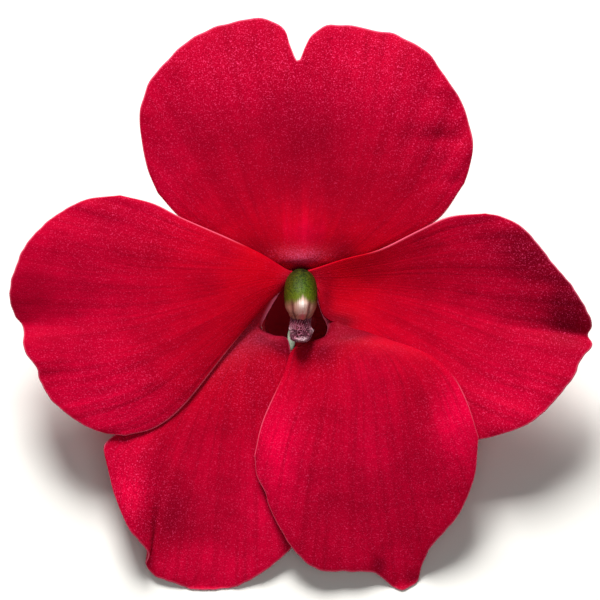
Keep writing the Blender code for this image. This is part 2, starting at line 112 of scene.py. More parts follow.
def gridQuads(rows, columns, closed=False):
    # corner numbers of a grid's four-cornered faces; a closed one joins its last column to its first
    r, c = np.meshgrid(np.arange(rows - 1), np.arange(columns if closed else columns - 1), indexing="ij")
    after = (c + 1) % columns
    near, far = r * columns, (r + 1) * columns
    return np.stack([near + c, near + after, far + after, far + c], -1).reshape(-1, 4)


def putPiece(name, skins, finish, node):
    # joins skins, each with points in part mm, four-cornered and three-cornered faces, and fields of
    # numbers on its points, into one mesh; a field is 0 on a skin without it
    starts = np.cumsum([0] + [len(skin["points"]) for skin in skins])
    points = np.concatenate([skin["points"] for skin in skins]) * mm
    quads, fans = (np.concatenate([skin[kind] + start for skin, start in zip(skins, starts)])
                   for kind in ("quads", "fans"))
    corners = np.concatenate([quads.ravel(), fans.ravel()]).astype(np.int32)
    mesh = bpy.data.meshes.new(name)
    mesh.vertices.add(len(points))
    mesh.vertices.foreach_set("co", points.astype(np.float32).ravel())
    mesh.loops.add(len(corners))
    mesh.loops.foreach_set("vertex_index", corners)
    mesh.polygons.add(len(quads) + len(fans))
    mesh.polygons.foreach_set("loop_start", np.concatenate([
        np.arange(len(quads)) * 4, quads.size + np.arange(len(fans)) * 3]).astype(np.int32))
    mesh.update(calc_edges=True)
    for field in sorted({key for skin in skins for key in skin["fields"]}):
        values = [np.broadcast_to(skin["fields"].get(field, 0.0), len(skin["points"])) for skin in skins]
        mesh.attributes.new(field, "FLOAT", "POINT").data.foreach_set(
            "value", np.concatenate(values).astype(np.float32))
    mesh.materials.append(finish)
    mesh.shade_smooth()
    piece = bpy.data.objects.new(name, mesh)
    bpy.context.scene.collection.objects.link(piece)
    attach(piece, "root")
    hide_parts(node)


# Materials

def hexToLinear(code):
    # sRGB hex to the linear values that the shaders take
    s = np.array([int(code[k:k + 2], 16) for k in (1, 3, 5)]) / 255
    return (*np.where(s <= 0.04045, s / 12.92, ((s + 0.055) / 1.055) ** 2.4), 1.0)


def fillSockets(tree, node, inputs):
    # sockets go by name or number, and each gets a value or another node's output
    for key, value in inputs.items():
        if isinstance(value, bpy.types.NodeSocket):
            tree.links.new(value, node.inputs[key])
        else:
            node.inputs[key].default_value = value


def addNode(tree, kind, inputs, **settings):
    # a node of a kind with its inputs and its settings
    node = tree.nodes.new(kind)
    for key, value in settings.items():
        setattr(node, key, value)
    fillSockets(tree, node, inputs)
    return node


def newFinish(name, look, fields, noises):
    # a material with its node tree, and by name its tints and its sources: the piece's fields, and
    # noises over the part with their size in mm, detail and roughness
    material = bpy.data.materials.new(name)
    material.use_nodes = True
    tree = material.node_tree
    place = addNode(tree, "ShaderNodeTexCoord", {}).outputs["Object"]
    share = {key: addNode(tree, "ShaderNodeAttribute", {}, attribute_name=key).outputs["Fac"]
             for key in fields}
    for key, size, detail, roughness in noises:
        share[key] = addNode(tree, "ShaderNodeTexNoise", {
            "Vector": place, "Scale": 1 / (size * mm), "Detail": detail, "Roughness": roughness}).outputs[0]
    tints = {key: hexToLinear(code) for key, code in look.items() if str(code).startswith("#")}
    return material, tree, tree.nodes["Principled BSDF"], tints, share


def layFinish(tree, tints, share, base, ranges=(), held=(), layers=(), bumps=()):
    # ranges: each share is read from a source, and goes from one share to another between two of its
    # values; held: some are multiplied by others; layers: colours laid over each other by the shares;
    # bumps: a source, its strength and its depth in mm, each over the one before
    for name, source, low, high, start, end in ranges:
        share[name] = addNode(tree, "ShaderNodeMapRange", {
            0: share[source], 1: low, 2: high, 3: start, 4: end}).outputs[0]
    for name, by in held:
        share[name] = addNode(tree, "ShaderNodeMath", {
            0: share[name], 1: share.get(by, by)}, operation="MULTIPLY").outputs[0]
    colour, relief = tints[base], {}
    for name, tint in layers:      # sockets 6 and 7 are the colours below and above
        colour = addNode(tree, "ShaderNodeMix", {
            0: share[name], 6: colour, 7: tints[tint]}, data_type="RGBA").outputs[2]
    for name, strength, depth in bumps:
        bump = addNode(tree, "ShaderNodeBump", {
            "Height": share[name], "Strength": strength, "Distance": depth * mm, **relief})
        relief = {"Normal": bump.outputs[0]}
    return colour, relief


petalLook = {
    "inner": "#b40014",       # smooth red towards the throat
    "outer": "#b20028",       # crimson of the velvety outer half
    "light": "#f0003e",       # painted light: brighter red where a lobe should look lit
    "deep": "#860018",        # between the veins and in the hollows
    # painted shade where a lobe should look shaded, also laid between the cells
    "dark": "#4c000e",
    "spark": "#fa4680",       # light caught on single cells
    "claw": "#cc5076",        # washed pink where the claw bends: partly its own colour, partly a painted highlight on the bend
    "foot": "#de1236",        # the hidden foot of the claw, brighter red as painted light where it bends back into shade
    "rim": "#ff7698",         # painted highlight along the thin edge, as if it caught the light
    "back": "#b01a38",
    "keel": "#6f7a3a",
    "sheen": "#ff2058",
    "cell": 0.11,             # mm; the real domes are 0.03 to 0.05 mm, too fine to show
    "cloud": 2.8,             # mm, patches of uneven pigment
    "vein": 42.0,             # veins across a lobe
    "veinBends": 2.2,         # and their bends along it
    "rimShare": 0.37,
}


def petalSkin():
    # Petal of a busy lizzie: thin living tissue with a velvet of dome-shaped cells on its face.
    # The eye gets a deep red with a soft pink bloom, painted patches of light and shade, fine painted
    # sparkles of light on single cells, faint veins and a painted highlight along the edge.
    look = petalLook
    material, tree, shader, tints, share = newFinish("petalSkin", look, (
        "across", "along", "front", "rimLine", "foot", "claw", "keel", "tone", "velvet"),
        (("cloud", look["cloud"], 4.0, 0.5), ("grain", look["cell"], 1.0, 0.6)))
    veinPlace = addNode(tree, "ShaderNodeCombineXYZ", {
        k: addNode(tree, "ShaderNodeMath", {0: share[key], 1: look[scale]}, operation="MULTIPLY").outputs[0]
        for k, key, scale in ((0, "across", "vein"), (1, "along", "veinBends"))})
    share["vein"] = addNode(tree, "ShaderNodeTexNoise", {
        "Vector": veinPlace.outputs[0], "Scale": 1.0, "Detail": 3.0}).outputs[0]
    # the back is paler and without the velvet, and its keel is green
    tints["back"] = addNode(tree, "ShaderNodeMix", {
        0: share["keel"], 6: tints["back"], 7: tints["keel"]}, data_type="RGBA").outputs[2]
    colour, relief = layFinish(tree, tints, share, "inner", ranges=(
        ("outward", "along", 0.35, 0.85, 0.0, 1.0),
        # painted light and shade from the lobes' hills
        ("paintedLight", "tone", 0.0, 1.0, 0.0, 0.75),
        ("paintedShade", "tone", 0.0, -1.0, 0.0, 0.75),
        ("hollow", "cloud", 0.42, 0.72, 0.0, 0.4),
        ("veins", "vein", 0.45, 0.7, 0.0, 0.42),
        ("veinGrowth", "along", 0.2, 0.55, 0.0, 1.0),        # veins fade towards the claw
        ("shadow", "grain", 0.5, 0.25, 0.0, 0.4),
        ("spark", "grain", 0.58, 0.76, 0.0, 0.58),
        ("washed", "grain", 0.35, 0.65, 0.4, 1.5),
        ("back", "front", 0.0, 0.5, 0.75, 0.0),
        ("rough", "grain", 0.3, 0.7, 0.62, 0.42),
    ), held=(
        ("veins", "veinGrowth"), ("shadow", "velvet"), ("spark", "velvet"), ("washed", "claw"),
        ("rimLine", look["rimShare"]),
    ), layers=(
        ("outward", "outer"), ("paintedLight", "light"), ("paintedShade", "dark"), ("hollow", "deep"),
        ("veins", "deep"), ("shadow", "dark"), ("spark", "spark"), ("washed", "claw"),
        ("back", "back"), ("rimLine", "rim"), ("foot", "foot"),
    ), bumps=(("grain", 0.35, 0.04), ("vein", 0.4, 0.08), ("cloud", 0.5, 0.3)))
    fillSockets(tree, shader, {
        "Base Color": colour, "Roughness": share["rough"], **relief, "IOR": 1.42, "Specular IOR Level": 0.02,
        "Sheen Weight": 0.05, "Sheen Roughness": 0.5, "Sheen Tint": tints["sheen"]})
    return material


hoodLook = {
    "green": "#405a08",       # waxy green under the crown
    "crown": "#0c1606",       # darker, stippled top
    "olive": "#4c5410",       # blotches
    "flank": "#403404",       # brown-olive sides
    "blush": "#ac6a5c",       # outer filaments
    "sun": "#6c7618",         # yellow-green where it turns pale
    "pale": "#e0b0a4",        # bleached front of the bulge
    "white": "#fff6ee",       # painted highlight, nearly white, on the bulge
    "rose": "#cc4a58",        # its lower end
    "seam": "#561e20",        # grooves between filaments
    "blotchSize": 0.35, "stippleSize": 0.1, "pimpleSize": 0.12,      # mm
}


def hoodSkin():
    # Cap of grown-together stamens: waxy skin, green on top, bleached pink-white at its foot.
    # The eye gets a painted white highlight on the glossy pale bulge, rosy below, and brown seams at its
    # sides.
    look = hoodLook
    material, tree, shader, tints, share = newFinish("hoodSkin", look, (
        "along", "seam", "bulge", "flank", "rose", "sun", "wet"),
        (("blotch", look["blotchSize"], 3.0, 0.5), ("stipple", look["stippleSize"], 1.0, 0.5),
         ("pimple", look["pimpleSize"], 2.0, 0.5)))
    colour, relief = layFinish(tree, tints, share, "green", ranges=(
        ("crown", "along", 0.4, 0.56, 1.0, 0.0),
        ("olive", "blotch", 0.4, 0.7, 0.0, 0.55),
        ("stipple", "stipple", 0.45, 0.62, 0.0, 0.75),
        ("foot", "along", 0.6, 0.7, 0.0, 0.95),
        ("rough", "bulge", 0.0, 1.0, 0.5, 0.2),
        ("gloss", "bulge", 0.0, 1.0, 0.1, 1.0),
    ), layers=(
        ("crown", "crown"), ("olive", "olive"), ("flank", "flank"), ("stipple", "crown"), ("foot", "blush"),
        ("sun", "sun"), ("bulge", "pale"), ("wet", "white"), ("rose", "rose"), ("seam", "seam"),
    ), bumps=(("pimple", 0.3, 0.03),))
    fillSockets(tree, shader, {
        "Base Color": colour, **relief, "Roughness": share["rough"], "Specular IOR Level": share["gloss"],
        "IOR": 1.45})
    return material


antherLook = {
    "flesh": "#5e1628",       # between the crests
    "ridge": "#c4748e",       # along them
    "lip": "#ffdce4",         # the papery lowest edge: pale, and whitened further as painted light where it turns down into shade
    "dustSize": 0.07,         # mm
}


def antherSkin():
    # Ripe anthers: burst pollen sacs with crinkled papery edges.
    # The eye gets a mauve-brown mass netted with pale pink, curly lines.
    look = antherLook
    material, tree, shader, tints, share = newFinish(
        "antherSkin", look, ("ridge", "lip"), (("dust", look["dustSize"], 1.0, 0.5),))
    colour = layFinish(tree, tints, share, "flesh", ranges=(("shade", "dust", 0.3, 0.7, 0.7, 1.1),),
                       layers=(("ridge", "ridge"), ("lip", "lip")))[0]
    dusty = addNode(tree, "ShaderNodeVectorMath", {0: colour, "Scale": share["shade"]}, operation="SCALE")
    fillSockets(tree, shader, {
        "Base Color": dusty.outputs[0], "IOR": 1.4, "Roughness": 0.6, "Specular IOR Level": 0.2})
    return material


leafLook = {
    "inside": "#a40e24",      # the crimson throat
    "lip": "#98a48e",         # the pale flap in the throat
    "cut": "#b9c08a",         # the cut end of the stalk
    "cloudSize": 1.8, "skinSize": 0.14,      # mm
    # body, veins, red flush and its share, and how many radians of veins across the piece
    "sepalSkin": ("#7f8c4a", "#5b6a34", "#a0685a", 0.5, 60.0),
    "spurSkin": ("#a9a066", "#8a4a48", "#b06a5e", 0.75, 40.0),
    "stalkSkin": ("#8f9a52", "#6e7a3e", "#9c5a4a", 0.6, 50.0),
    "pistilSkin": ("#86a04a", "#6f8a3c", "#9aa860", 0.4, 5.0),
}


def leafSkin(name):
    # Waxy green leaf tissue of sepals and stalk: smooth cuticle over pale green, flushed with red.
    # The eye gets a satin green with darker veins along it and a reddish cast.
    body, vein, flush, flushShare, stripe = leafLook[name]
    look = {**leafLook, "body": body, "vein": vein, "flush": flush}
    material, tree, shader, tints, share = newFinish(
        name, look, ("across", "inside", "lip", "cut"),
        (("cloud", look["cloudSize"], 4.0, 0.5), ("skin", look["skinSize"], 2.0, 0.5)))
    stripes = addNode(tree, "ShaderNodeMath", {0: share["across"], 1: stripe}, operation="MULTIPLY")
    share["crest"] = addNode(tree, "ShaderNodeMath", {0: stripes.outputs[0]}, operation="SINE").outputs[0]
    colour, relief = layFinish(
        tree, tints, share, "body",
        ranges=(("vein", "crest", 0.55, 1.0, 0.0, 0.55), ("flush", "cloud", 0.35, 0.7, 0.0, flushShare)),
        layers=[(key, key) for key in ("vein", "flush", "inside", "lip", "cut")],
        bumps=(("skin", 0.25, 0.03), ("vein", 0.4, 0.05)))
    fillSockets(tree, shader, {
        "Base Color": colour, **relief, "IOR": 1.45, "Roughness": 0.42, "Specular IOR Level": 0.45})
    return material


petalFinish, hoodFinish, antherFinish = petalSkin(), hoodSkin(), antherSkin()
sepalFinish, spurFinish = leafSkin("sepalSkin"), leafSkin("spurSkin")
stalkFinish, pistilFinish = leafSkin("stalkSkin"), leafSkin("pistilSkin")
print("materials made")

# Petals

blade = {
    "middle": 0.34,           # mm, thickness of the blade
    "edge": 0.12,             # at its rim
    "claw": 0.5,              # at its foot, which it leaves over this span of v
    "clawSpan": (0.05, 0.3),
    "taper": 0.45,            # how far in from the rim the edge grows to the middle's thickness
    "across": 151, "along": 111, "dense": 600,       # points of the grid and of its dense curves
    "edgeSteps": (0.001, 0.0025, 0.0045, 0.0075),    # shares of its size where the edge rows lie
    "rimLine": 0.05,          # mm of painted highlight along the edge
    "rimFrom": 0.35, "rimRise": 0.15,        # v from which, and over which, it comes in
    "marginShare": 2.6, "marginEnds": (0.05, 0.08),  # how much stronger a broad one is; its ends, in v
    "keelWidth": 0.3,         # mm to either side
    "keelSpan": (3.2, 5.5, 12.5, 15.5),              # y over which the keel rises and falls
    "keelPoint": (13.3, 0.8, 0.6),                   # y, reach and share of the point that it ends in
    "rimSoftness": 0.07,      # share of the rim over which nicks are smoothed inside the lobe
    "rimReach": 9,            # power of v with which they come back at the rim
    "nibble": 0.0022, "nibbles": (9, 16, 27),        # the rim's small unevenness and its waves
    # fine veins and puckers: mm, waves across, and their bends along the lobe
    "veins": ((0.014, 5, 1.0), (0.004, 12, 1.5), (0.002, 29, 1.2)),
    "pucker": (0.05, 9, 2.3),        # mm at the rim, and its waves across
    "wrapSpan": (0.12, 0.42),        # v over which the wrap of the claw ends
    "velvet": (0.15, 0.47, 0.4),     # its share at the foot, what the rim adds, and v where that starts
    "floorGap": 0.14,         # the face's height where a petal is pressed on the surface
}
# A lobe is a ladder of rungs, each a pair of points on its two sides, from the torus out to its
# shoulders, then its rim from the first side round to the second. Over it, u goes across from 0 to 1
# and v from the torus to the rim. All is in mm, or in shares of u and v:
# cup: how far its middle stands forward; ripples: waves across, their height, their start
# wrap: how far the claw's sides go back round the column; still: v up to which it ignores the rim
# creases: u, width, height, v where it starts; roll: v, length, depth, share of u rolled back
# swells, painted light and shade, velvet: hills of x, y, reach in x, reach in y, and height or strength; the
# painted light and shade lightens the red above 0 and darkens it below
# band: v, width, spread in u and strength of the washed claw, partly a painted highlight; fold: v up to which
# the foot's painted light shows
# rimFrom: v where the painted edge highlight starts, if not the blade's
# margin: v to v of a broad painted edge highlight, and its reach; keel: how far it stands out of the back
upperLobe = {
    "rungs": [
        ((-0.8, 1.9, -3.0), (0.8, 1.9, -3.0)), ((-1.3, 2.05, -1.9), (1.3, 2.05, -1.9)),
        ((-2.5, 2.4, -1.05), (2.5, 2.35, -1.05)), ((-4.4, 2.8, -0.8), (4.4, 2.7, -0.8)),
        ((-6.9, 4.0, -0.65), (7.1, 3.7, -0.65)), ((-9.9, 5.9, -0.6), (11.1, 5.8, -0.6)),
        ((-11.9, 8.0, -0.5), (13.4, 8.8, -0.4)),
    ],
    "rim": [
        (-12.7, 9.9, -0.4), (-13.1, 11.7, -0.3), (-13.4, 14.2, -0.2), (-13.1, 15.7, -0.2),
        (-12.6, 17.1, -0.2), (-11.7, 18.2, -0.3), (-10.5, 19.6, -0.4), (-8.8, 20.9, -0.6),
        (-7.0, 21.7, -0.7), (-5.0, 22.3, -0.8), (-3.6, 22.4, -0.9), (-2.5, 22.2, -0.9),
        (-1.4, 21.4, -0.7), (-1.0, 20.2, -0.5), (-0.3, 18.8, -0.2), (0.3, 20.1, -0.5),
        (0.9, 21.1, -0.7), (2.0, 21.8, -0.8), (3.1, 21.9, -0.9), (4.6, 21.7, -0.9), (5.8, 21.4, -0.8),
        (7.1, 21.3, -0.8), (8.1, 20.9, -0.7), (9.9, 19.9, -0.5), (10.9, 18.9, -0.4), (12.4, 16.7, -0.2),
        (13.2, 15.4, -0.1), (13.6, 14.2, -0.1), (14.1, 12.1, -0.2), (13.8, 10.1, -0.3),
    ],
    "cup": 0.35, "ripples": (4.0, 0.09, 0.1), "wrap": 0.95, "still": 0.25,
    "band": (0.3, 0.055, 0.17, 0.4), "fold": 0.2, "keel": 0.42,
    "creases": [
        (0.47, 0.08, -0.3, 0.5), (0.86, 0.05, -0.3, 0.6), (0.79, 0.018, -0.1, 0.6),
        (0.83, 0.016, 0.08, 0.66), (0.9, 0.02, -0.13, 0.62), (0.94, 0.018, 0.1, 0.68),
        (0.1, 0.03, -0.12, 0.6), (0.16, 0.025, 0.08, 0.66), (0.3, 0.02, -0.07, 0.7),
        (0.66, 0.02, -0.06, 0.72),
    ],
    "swells": [
        (0, 2.4, 2.0, 0.9, 0.2), (0, 4.2, 1.8, 2.5, 0.25), (-5, 16.5, 6, 4.5, 0.6),
        (6, 16, 6, 4.5, 0.6), (1.5, 6.0, 2.2, 1.6, 0.15), (11.3, 15.9, 1.8, 0.6, -0.1),
        (10.8, 14.0, 2.0, 0.7, 0.1), (11.2, 12.5, 1.8, 0.5, -0.12), (12.4, 11.3, 1.5, 0.6, 0.08),
        (12.2, 8.9, 1.6, 0.6, -0.1),
    ],
    "lightAndShade": [
        (-5, 20, 4, 3, -0.18), (4, 20, 4, 3, 0.04), (0, 12.5, 4, 4.5, -0.6), (5.5, 8, 4, 2.5, -0.4),
        (-6, 8, 3, 2.5, -0.2), (10, 12, 4, 5, -0.17), (11.4, 15.9, 1.8, 0.6, -0.1),
        (0.6, 4.4, 1.4, 1.4, 0.3), (1.2, 8.8, 0.8, 1.6, 0.2), (-9.5, 13.5, 3, 4, -0.22),
        (-3.6, 3.4, 1.5, 1.4, -0.6), (3.4, 3.2, 1.4, 1.3, -0.7), (0, 4.7, 1.6, 1.0, 0.2),
        (0, 2.3, 1.4, 0.5, 0.6), (0, 8, 3, 2, -0.3), (-1.3, 6.0, 0.35, 2.2, 0.25),
        (0.2, 6.4, 0.4, 2.6, 0.3), (1.7, 6.2, 0.35, 2.2, 0.25),
    ],
    "velvet": [(-6, 19, 6, 4, 0.6), (5, 19, 6, 4, 0.6), (11, 13, 4, 5, 0.4), (0, 2.9, 2.0, 0.7, 0.9)],
}
leftUpperLobe = {
    "rungs": [
        ((-1.0, 2.0, -3.0), (-1.2, 0.8, -3.0)), ((-0.95, 1.85, -1.6), (-1.3, 0.7, -1.6)),
        ((-1.05, 1.5, -0.45), (-1.45, 0.3, -0.45)), ((-3.3, 2.9, 0.3), (-3.25, -1.5, 0.0)),
        ((-6.0, 4.2, 0.4), (-6.1, -4.9, 0.05)), ((-9.9, 5.9, 0.45), (-9.7, -9.4, 0.0)),
        ((-12.3, 7.1, 0.4), (-12.1, -11.3, 0.05)), ((-15.0, 7.8, 0.3), (-14.6, -12.0, 0.1)),
    ],
    "rim": [
        (-17.9, 7.4, 0.2), (-20.6, 5.9, 0.1), (-22.6, 3.9, 0.0), (-23.7, 1.6, -0.1),
        (-24.1, -0.4, -0.2), (-23.8, -1.9, -0.3), (-23.0, -3.1, -0.6), (-22.9, -4.9, -0.2),
        (-21.9, -6.3, -0.1), (-21.6, -7.4, -0.2), (-20.5, -9.2, 0.0), (-18.5, -10.8, 0.1),
        (-16.6, -11.7, 0.1),
    ],
    "cup": 0.5, "ripples": (3.0, 0.07, 0.3), "still": 0.2, "band": (0.14, 0.05, 0.8, 0.08),
    "fold": 0.09,
    "creases": [(0.5, 0.06, -0.45, 0.75)],
    "swells": [(-15, -7.5, 6, 3.5, 0.4), (-16, 4, 6, 3, 0.25)],
    "lightAndShade": [
        (-15, 5.5, 3, 2, -0.2), (-16, -9, 5, 3, 0.45), (-22.5, 0, 2.5, 3, -0.25),
        (-8, -6.5, 3, 3, -0.2), (-15, -0.8, 4, 2.5, 0.13),
    ],
    "velvet": [(-12, 5, 5, 3, 0.25), (-14, -8, 6, 3, 0.4), (-22, -1, 3, 4, -0.4)],
}
leftLowerLobe = {
    "rungs": [
        ((-1.75, 1.25, -2.9), (-1.5, 0.3, -2.9)), ((-2.1, 1.0, -2.0), (-1.6, 0.2, -2.0)),
        ((-2.9, 0.1, -1.1), (-1.85, -0.05, -1.05)), ((-5.0, -1.6, -0.65), (-3.0, -2.1, -0.8)),
        ((-6.9, -3.7, -0.55), (-3.4, -3.2, -0.75)), ((-8.9, -6.4, -0.5), (-2.3, -3.8, -0.7)),
        ((-10.4, -8.2, -0.47), (-1.3, -4.0, -0.65)), ((-12.2, -9.9, -0.45), (-0.95, -5.1, -0.6)),
        ((-13.9, -11.0, -0.42), (-0.3, -7.6, -0.52)), ((-16.2, -12.7, -0.35), (0.6, -12.8, -0.5)),
        ((-16.1, -14.4, -0.3), (0.4, -17.8, -0.5)),
    ],
    "rim": [
        (-15.5, -16.7, -0.2), (-14.3, -19.5, 0.1), (-12.7, -21.6, 0.3), (-12.9, -22.7, -0.7),
        (-12.1, -23.6, -1.0), (-10.5, -24.2, -1.1), (-9.2, -24.7, -1.2), (-7.5, -24.8, -1.25),
        (-5.3, -24.4, -1.1), (-3.3, -23.3, -0.9), (-1.1, -21.5, -0.8), (0.0, -19.7, -0.7),
    ],
    "cup": 0.3, "ripples": (3.0, 0.07, 0.0), "still": 0.45, "band": (0.36, 0.12, 0.8, 0.15),
    "fold": 0.1, "margin": (0.1, 0.28, 0.19), "roll": (0.41, 0.1, 0.9, 0.1),
    "creases": [(0.33, 0.06, -0.6, 0.68), (0.2, 0.08, 0.4, 0.5)],
    "swells": [(-13.5, -18.5, 2.5, 3.5, 0.5)],
    "lightAndShade": [
        (-14.2, -16.5, 2.2, 4, 0.6), (-8, -23, 5, 2, 0.62), (-2.5, -17, 2, 4, 0.88),
        (-8.4, -13.2, 2.5, 3, 0.2), (-3.2, -9.2, 1.5, 1.5, -0.2), (-1.3, -4.6, 1.0, 1.0, -1.4),
        (-3.3, -4.2, 1.4, 0.9, -0.8), (-2.3, -3.9, 1.2, 0.5, -0.9), (-10.8, -18.5, 1.8, 2.8, -0.7),
    ],
    "velvet": [(-4.5, -7, 4, 3.5, 0.5), (-14, -17, 3, 5, 0.6)],
}
rightUpperLobe = {
    "rungs": [
        ((1.0, 2.0, -3.0), (1.2, 0.8, -3.0)), ((0.9, 1.85, -1.6), (1.3, 0.7, -1.6)),
        ((0.7, 1.6, -0.5), (1.3, 0.0, -0.55)), ((3.4, 2.5, 0.3), (1.9, -2.2, -0.25)),
        ((6.4, 3.3, 0.4), (4.5, -3.5, 0.25)), ((9.7, 4.9, 0.45), (7.8, -6.9, 0.1)),
        ((12.2, 6.0, 0.5), (10.9, -10.6, 0.1)), ((15.1, 6.3, 0.6), (14.2, -12.4, 0.15)),
    ],
    "rim": [
        (16.5, 6.0, 0.7), (18.4, 4.9, 0.75), (20.7, 2.1, 0.7), (22.3, 0.2, 0.6), (23.5, -1.8, 0.3),
        (23.9, -2.9, 0.0), (23.6, -3.8, -0.4), (23.9, -4.6, 0.0), (23.0, -5.7, 0.2), (22.3, -7.2, 0.4),
        (20.7, -9.2, 0.5), (18.8, -10.9, 0.5), (16.3, -11.9, 0.3),
    ],
    "cup": -1.1, "ripples": (3.0, 0.07, 0.55), "still": 0.2, "band": (0.14, 0.05, 0.8, 0.08),
    "fold": 0.09,
    "creases": [(0.5, 0.06, -0.4, 0.7)],
    "swells": [],
    "lightAndShade": [
        (18, -9, 4, 2.5, 0.25), (14, -0.5, 4, 3, 0.1), (19.2, 2.3, 2, 1.5, -0.4),
        (22, -1.2, 2, 3.2, -1.3), (18.5, 3.6, 3, 1.8, -1.0), (2.0, -0.9, 0.7, 1.6, -0.8),
        (3.0, -2.7, 1.6, 0.8, -1.2),
    ],
    "velvet": [(21, 0, 4, 4, 0.3), (17, 4, 4, 2.5, 0.3), (18, -9, 5, 3, 0.3)],
}
rightLowerLobe = {
    "rungs": [
        ((1.75, 1.25, -2.9), (1.5, 0.3, -2.9)), ((2.1, 1.0, -2.0), (1.6, 0.2, -2.0)),
        ((2.8, 0.0, -1.2), (1.2, -0.3, -1.15)), ((3.5, -1.7, -1.05), (1.65, -1.9, -0.95)),
        ((4.2, -2.9, -0.75), (2.15, -3.1, -0.55)), ((5.6, -3.6, 0.3), (1.8, -3.95, -0.1)),
        ((7.4, -4.2, 0.9), (0.5, -4.4, -0.05)), ((10.2, -5.2, 1.2), (-0.8, -5.0, -0.05)),
        ((12.2, -6.8, 1.3), (-1.6, -7.2, 0.05)), ((13.5, -9.1, 1.3), (-3.2, -10.8, 0.12)),
        ((14.5, -12.1, 1.2), (-3.9, -13.6, 0.15)),
    ],
    "rim": [
        (14.2, -15.2, 0.9), (13.2, -17.9, 0.6), (12.0, -19.6, 0.3), (10.6, -21.2, -0.2),
        (9.9, -22.8, -0.9), (9.5, -24.1, -1.2), (8.3, -24.9, -1.25), (7.1, -24.2, -0.9),
        (6.0, -23.3, -0.4), (4.0, -23.2, 0.0), (1.3, -23.0, 0.1), (-0.3, -21.8, 0.15),
        (-1.6, -20.0, 0.15), (-2.7, -17.8, 0.15), (-3.0, -16.7, 0.15), (-3.7, -15.3, 0.15),
    ],
    "cup": 1.2, "ripples": (3.0, 0.07, 0.2), "still": 0.45, "band": (0.4, 0.12, 0.8, 0.04), "fold": 0.1,
    "rimFrom": 0.62, "margin": (0.12, 0.36, 0.3), "roll": (0.42, 0.08, 0.9, 0.12),
    "creases": [(0.42, 0.07, -0.3, 0.5), (0.62, 0.08, -0.2, 0.5)],
    "swells": [(11.5, -12.5, 2.6, 4, 0.35), (-0.5, -14, 2.2, 4, 0.3)],
    "lightAndShade": [
        (12.8, -11, 1.8, 3.5, 1.1), (-1.8, -13.5, 1.8, 3.5, 1.08), (4, -21, 6, 2.5, 0.06),
        (1.2, -5.0, 1.4, 0.8, -0.3), (5.5, -7, 3, 2, 0.3), (6, -12.5, 3, 4, 0.5),
        (1.6, -5.8, 1.3, 1.1, -0.45), (8, -22, 1, 1, 0.25), (2.8, -2.8, 1.5, 1.6, -1.1),
        (4.6, -3.4, 2.4, 0.8, -1.3), (1.9, -4.6, 0.8, 1.2, -0.4), (6.3, -22.7, 0.6, 0.9, -0.9),
        (9.0, -24.0, 0.8, 0.9, -0.7),
    ],
    "velvet": [(2, -5.5, 2, 1.5, 0.4), (0, -12, 4, 5, 0.2), (11, -10, 4, 5, 0.2)],
}


def hills(places, x, y):
    # a sum of bells at places (x, y, reach in x, reach in y, height)
    return sum((h * bell(x, cx, rx) * bell(y, cy, ry) for cx, cy, rx, ry, h in places), 0 * x)


def lobeRelief(lobe, u, v):
    # forward of the ladder: a cup over the middle, ripples that grow to the rim, creases, then
    # soft puckers and fine veins as sums of waves whose crests run out along the lobe
    middle = 4 * u * (1 - u)
    count, height, phase = lobe["ripples"]
    z = lobe["cup"] * middle * np.sin(np.pi * np.clip(v, 0, 1) ** 1.4)
    z = z + height * np.minimum(1, 2 * middle) * v**2 * wave(count * u + phase)
    for place, width, depth, start in lobe["creases"]:
        z = z + depth * np.clip((v - start) / (1 - start), 0, 1) ** 1.5 * bell(u, place, width)
    draw = np.random.default_rng(bloom["seed"])
    for size, waves, bends in blade["veins"]:
        for step in range(3):
            turn = draw.uniform(0, 2 * np.pi, 2)
            bend = 0.6 * np.sin(2 * np.pi * bends * v + turn[1])
            crests = np.sin(2 * np.pi * (waves + 2 * step) * u + turn[0] + bend)
            z = z + size * v * ramp(v, 0.25, 0.8) * crests
    size, waves, swing = blade["pucker"]
    z = z + size * ramp(v, 0.75, 1.0) * np.sin(2 * np.pi * waves * u + 3 * phase) * wave(swing * u)
    if "roll" in lobe:
        place, length, depth, reach = lobe["roll"]
        z = z - depth * bell(v, place, length) * np.clip((u - 1 + reach) / reach, 0, 1) ** 2
    return z


def softened(values, reach):
    # a running mean taken twice, with the ends held
    kernel = np.ones(2 * reach + 1) / (2 * reach + 1)
    for step in range(2):
        before, after = 2 * values[:1] - values[reach:0:-1], 2 * values[-1:] - values[-2:-reach - 2:-1]
        padded = np.concatenate([before, values, after])
        values = np.stack([np.convolve(column, kernel, "valid") for column in padded.T], -1)
    return values


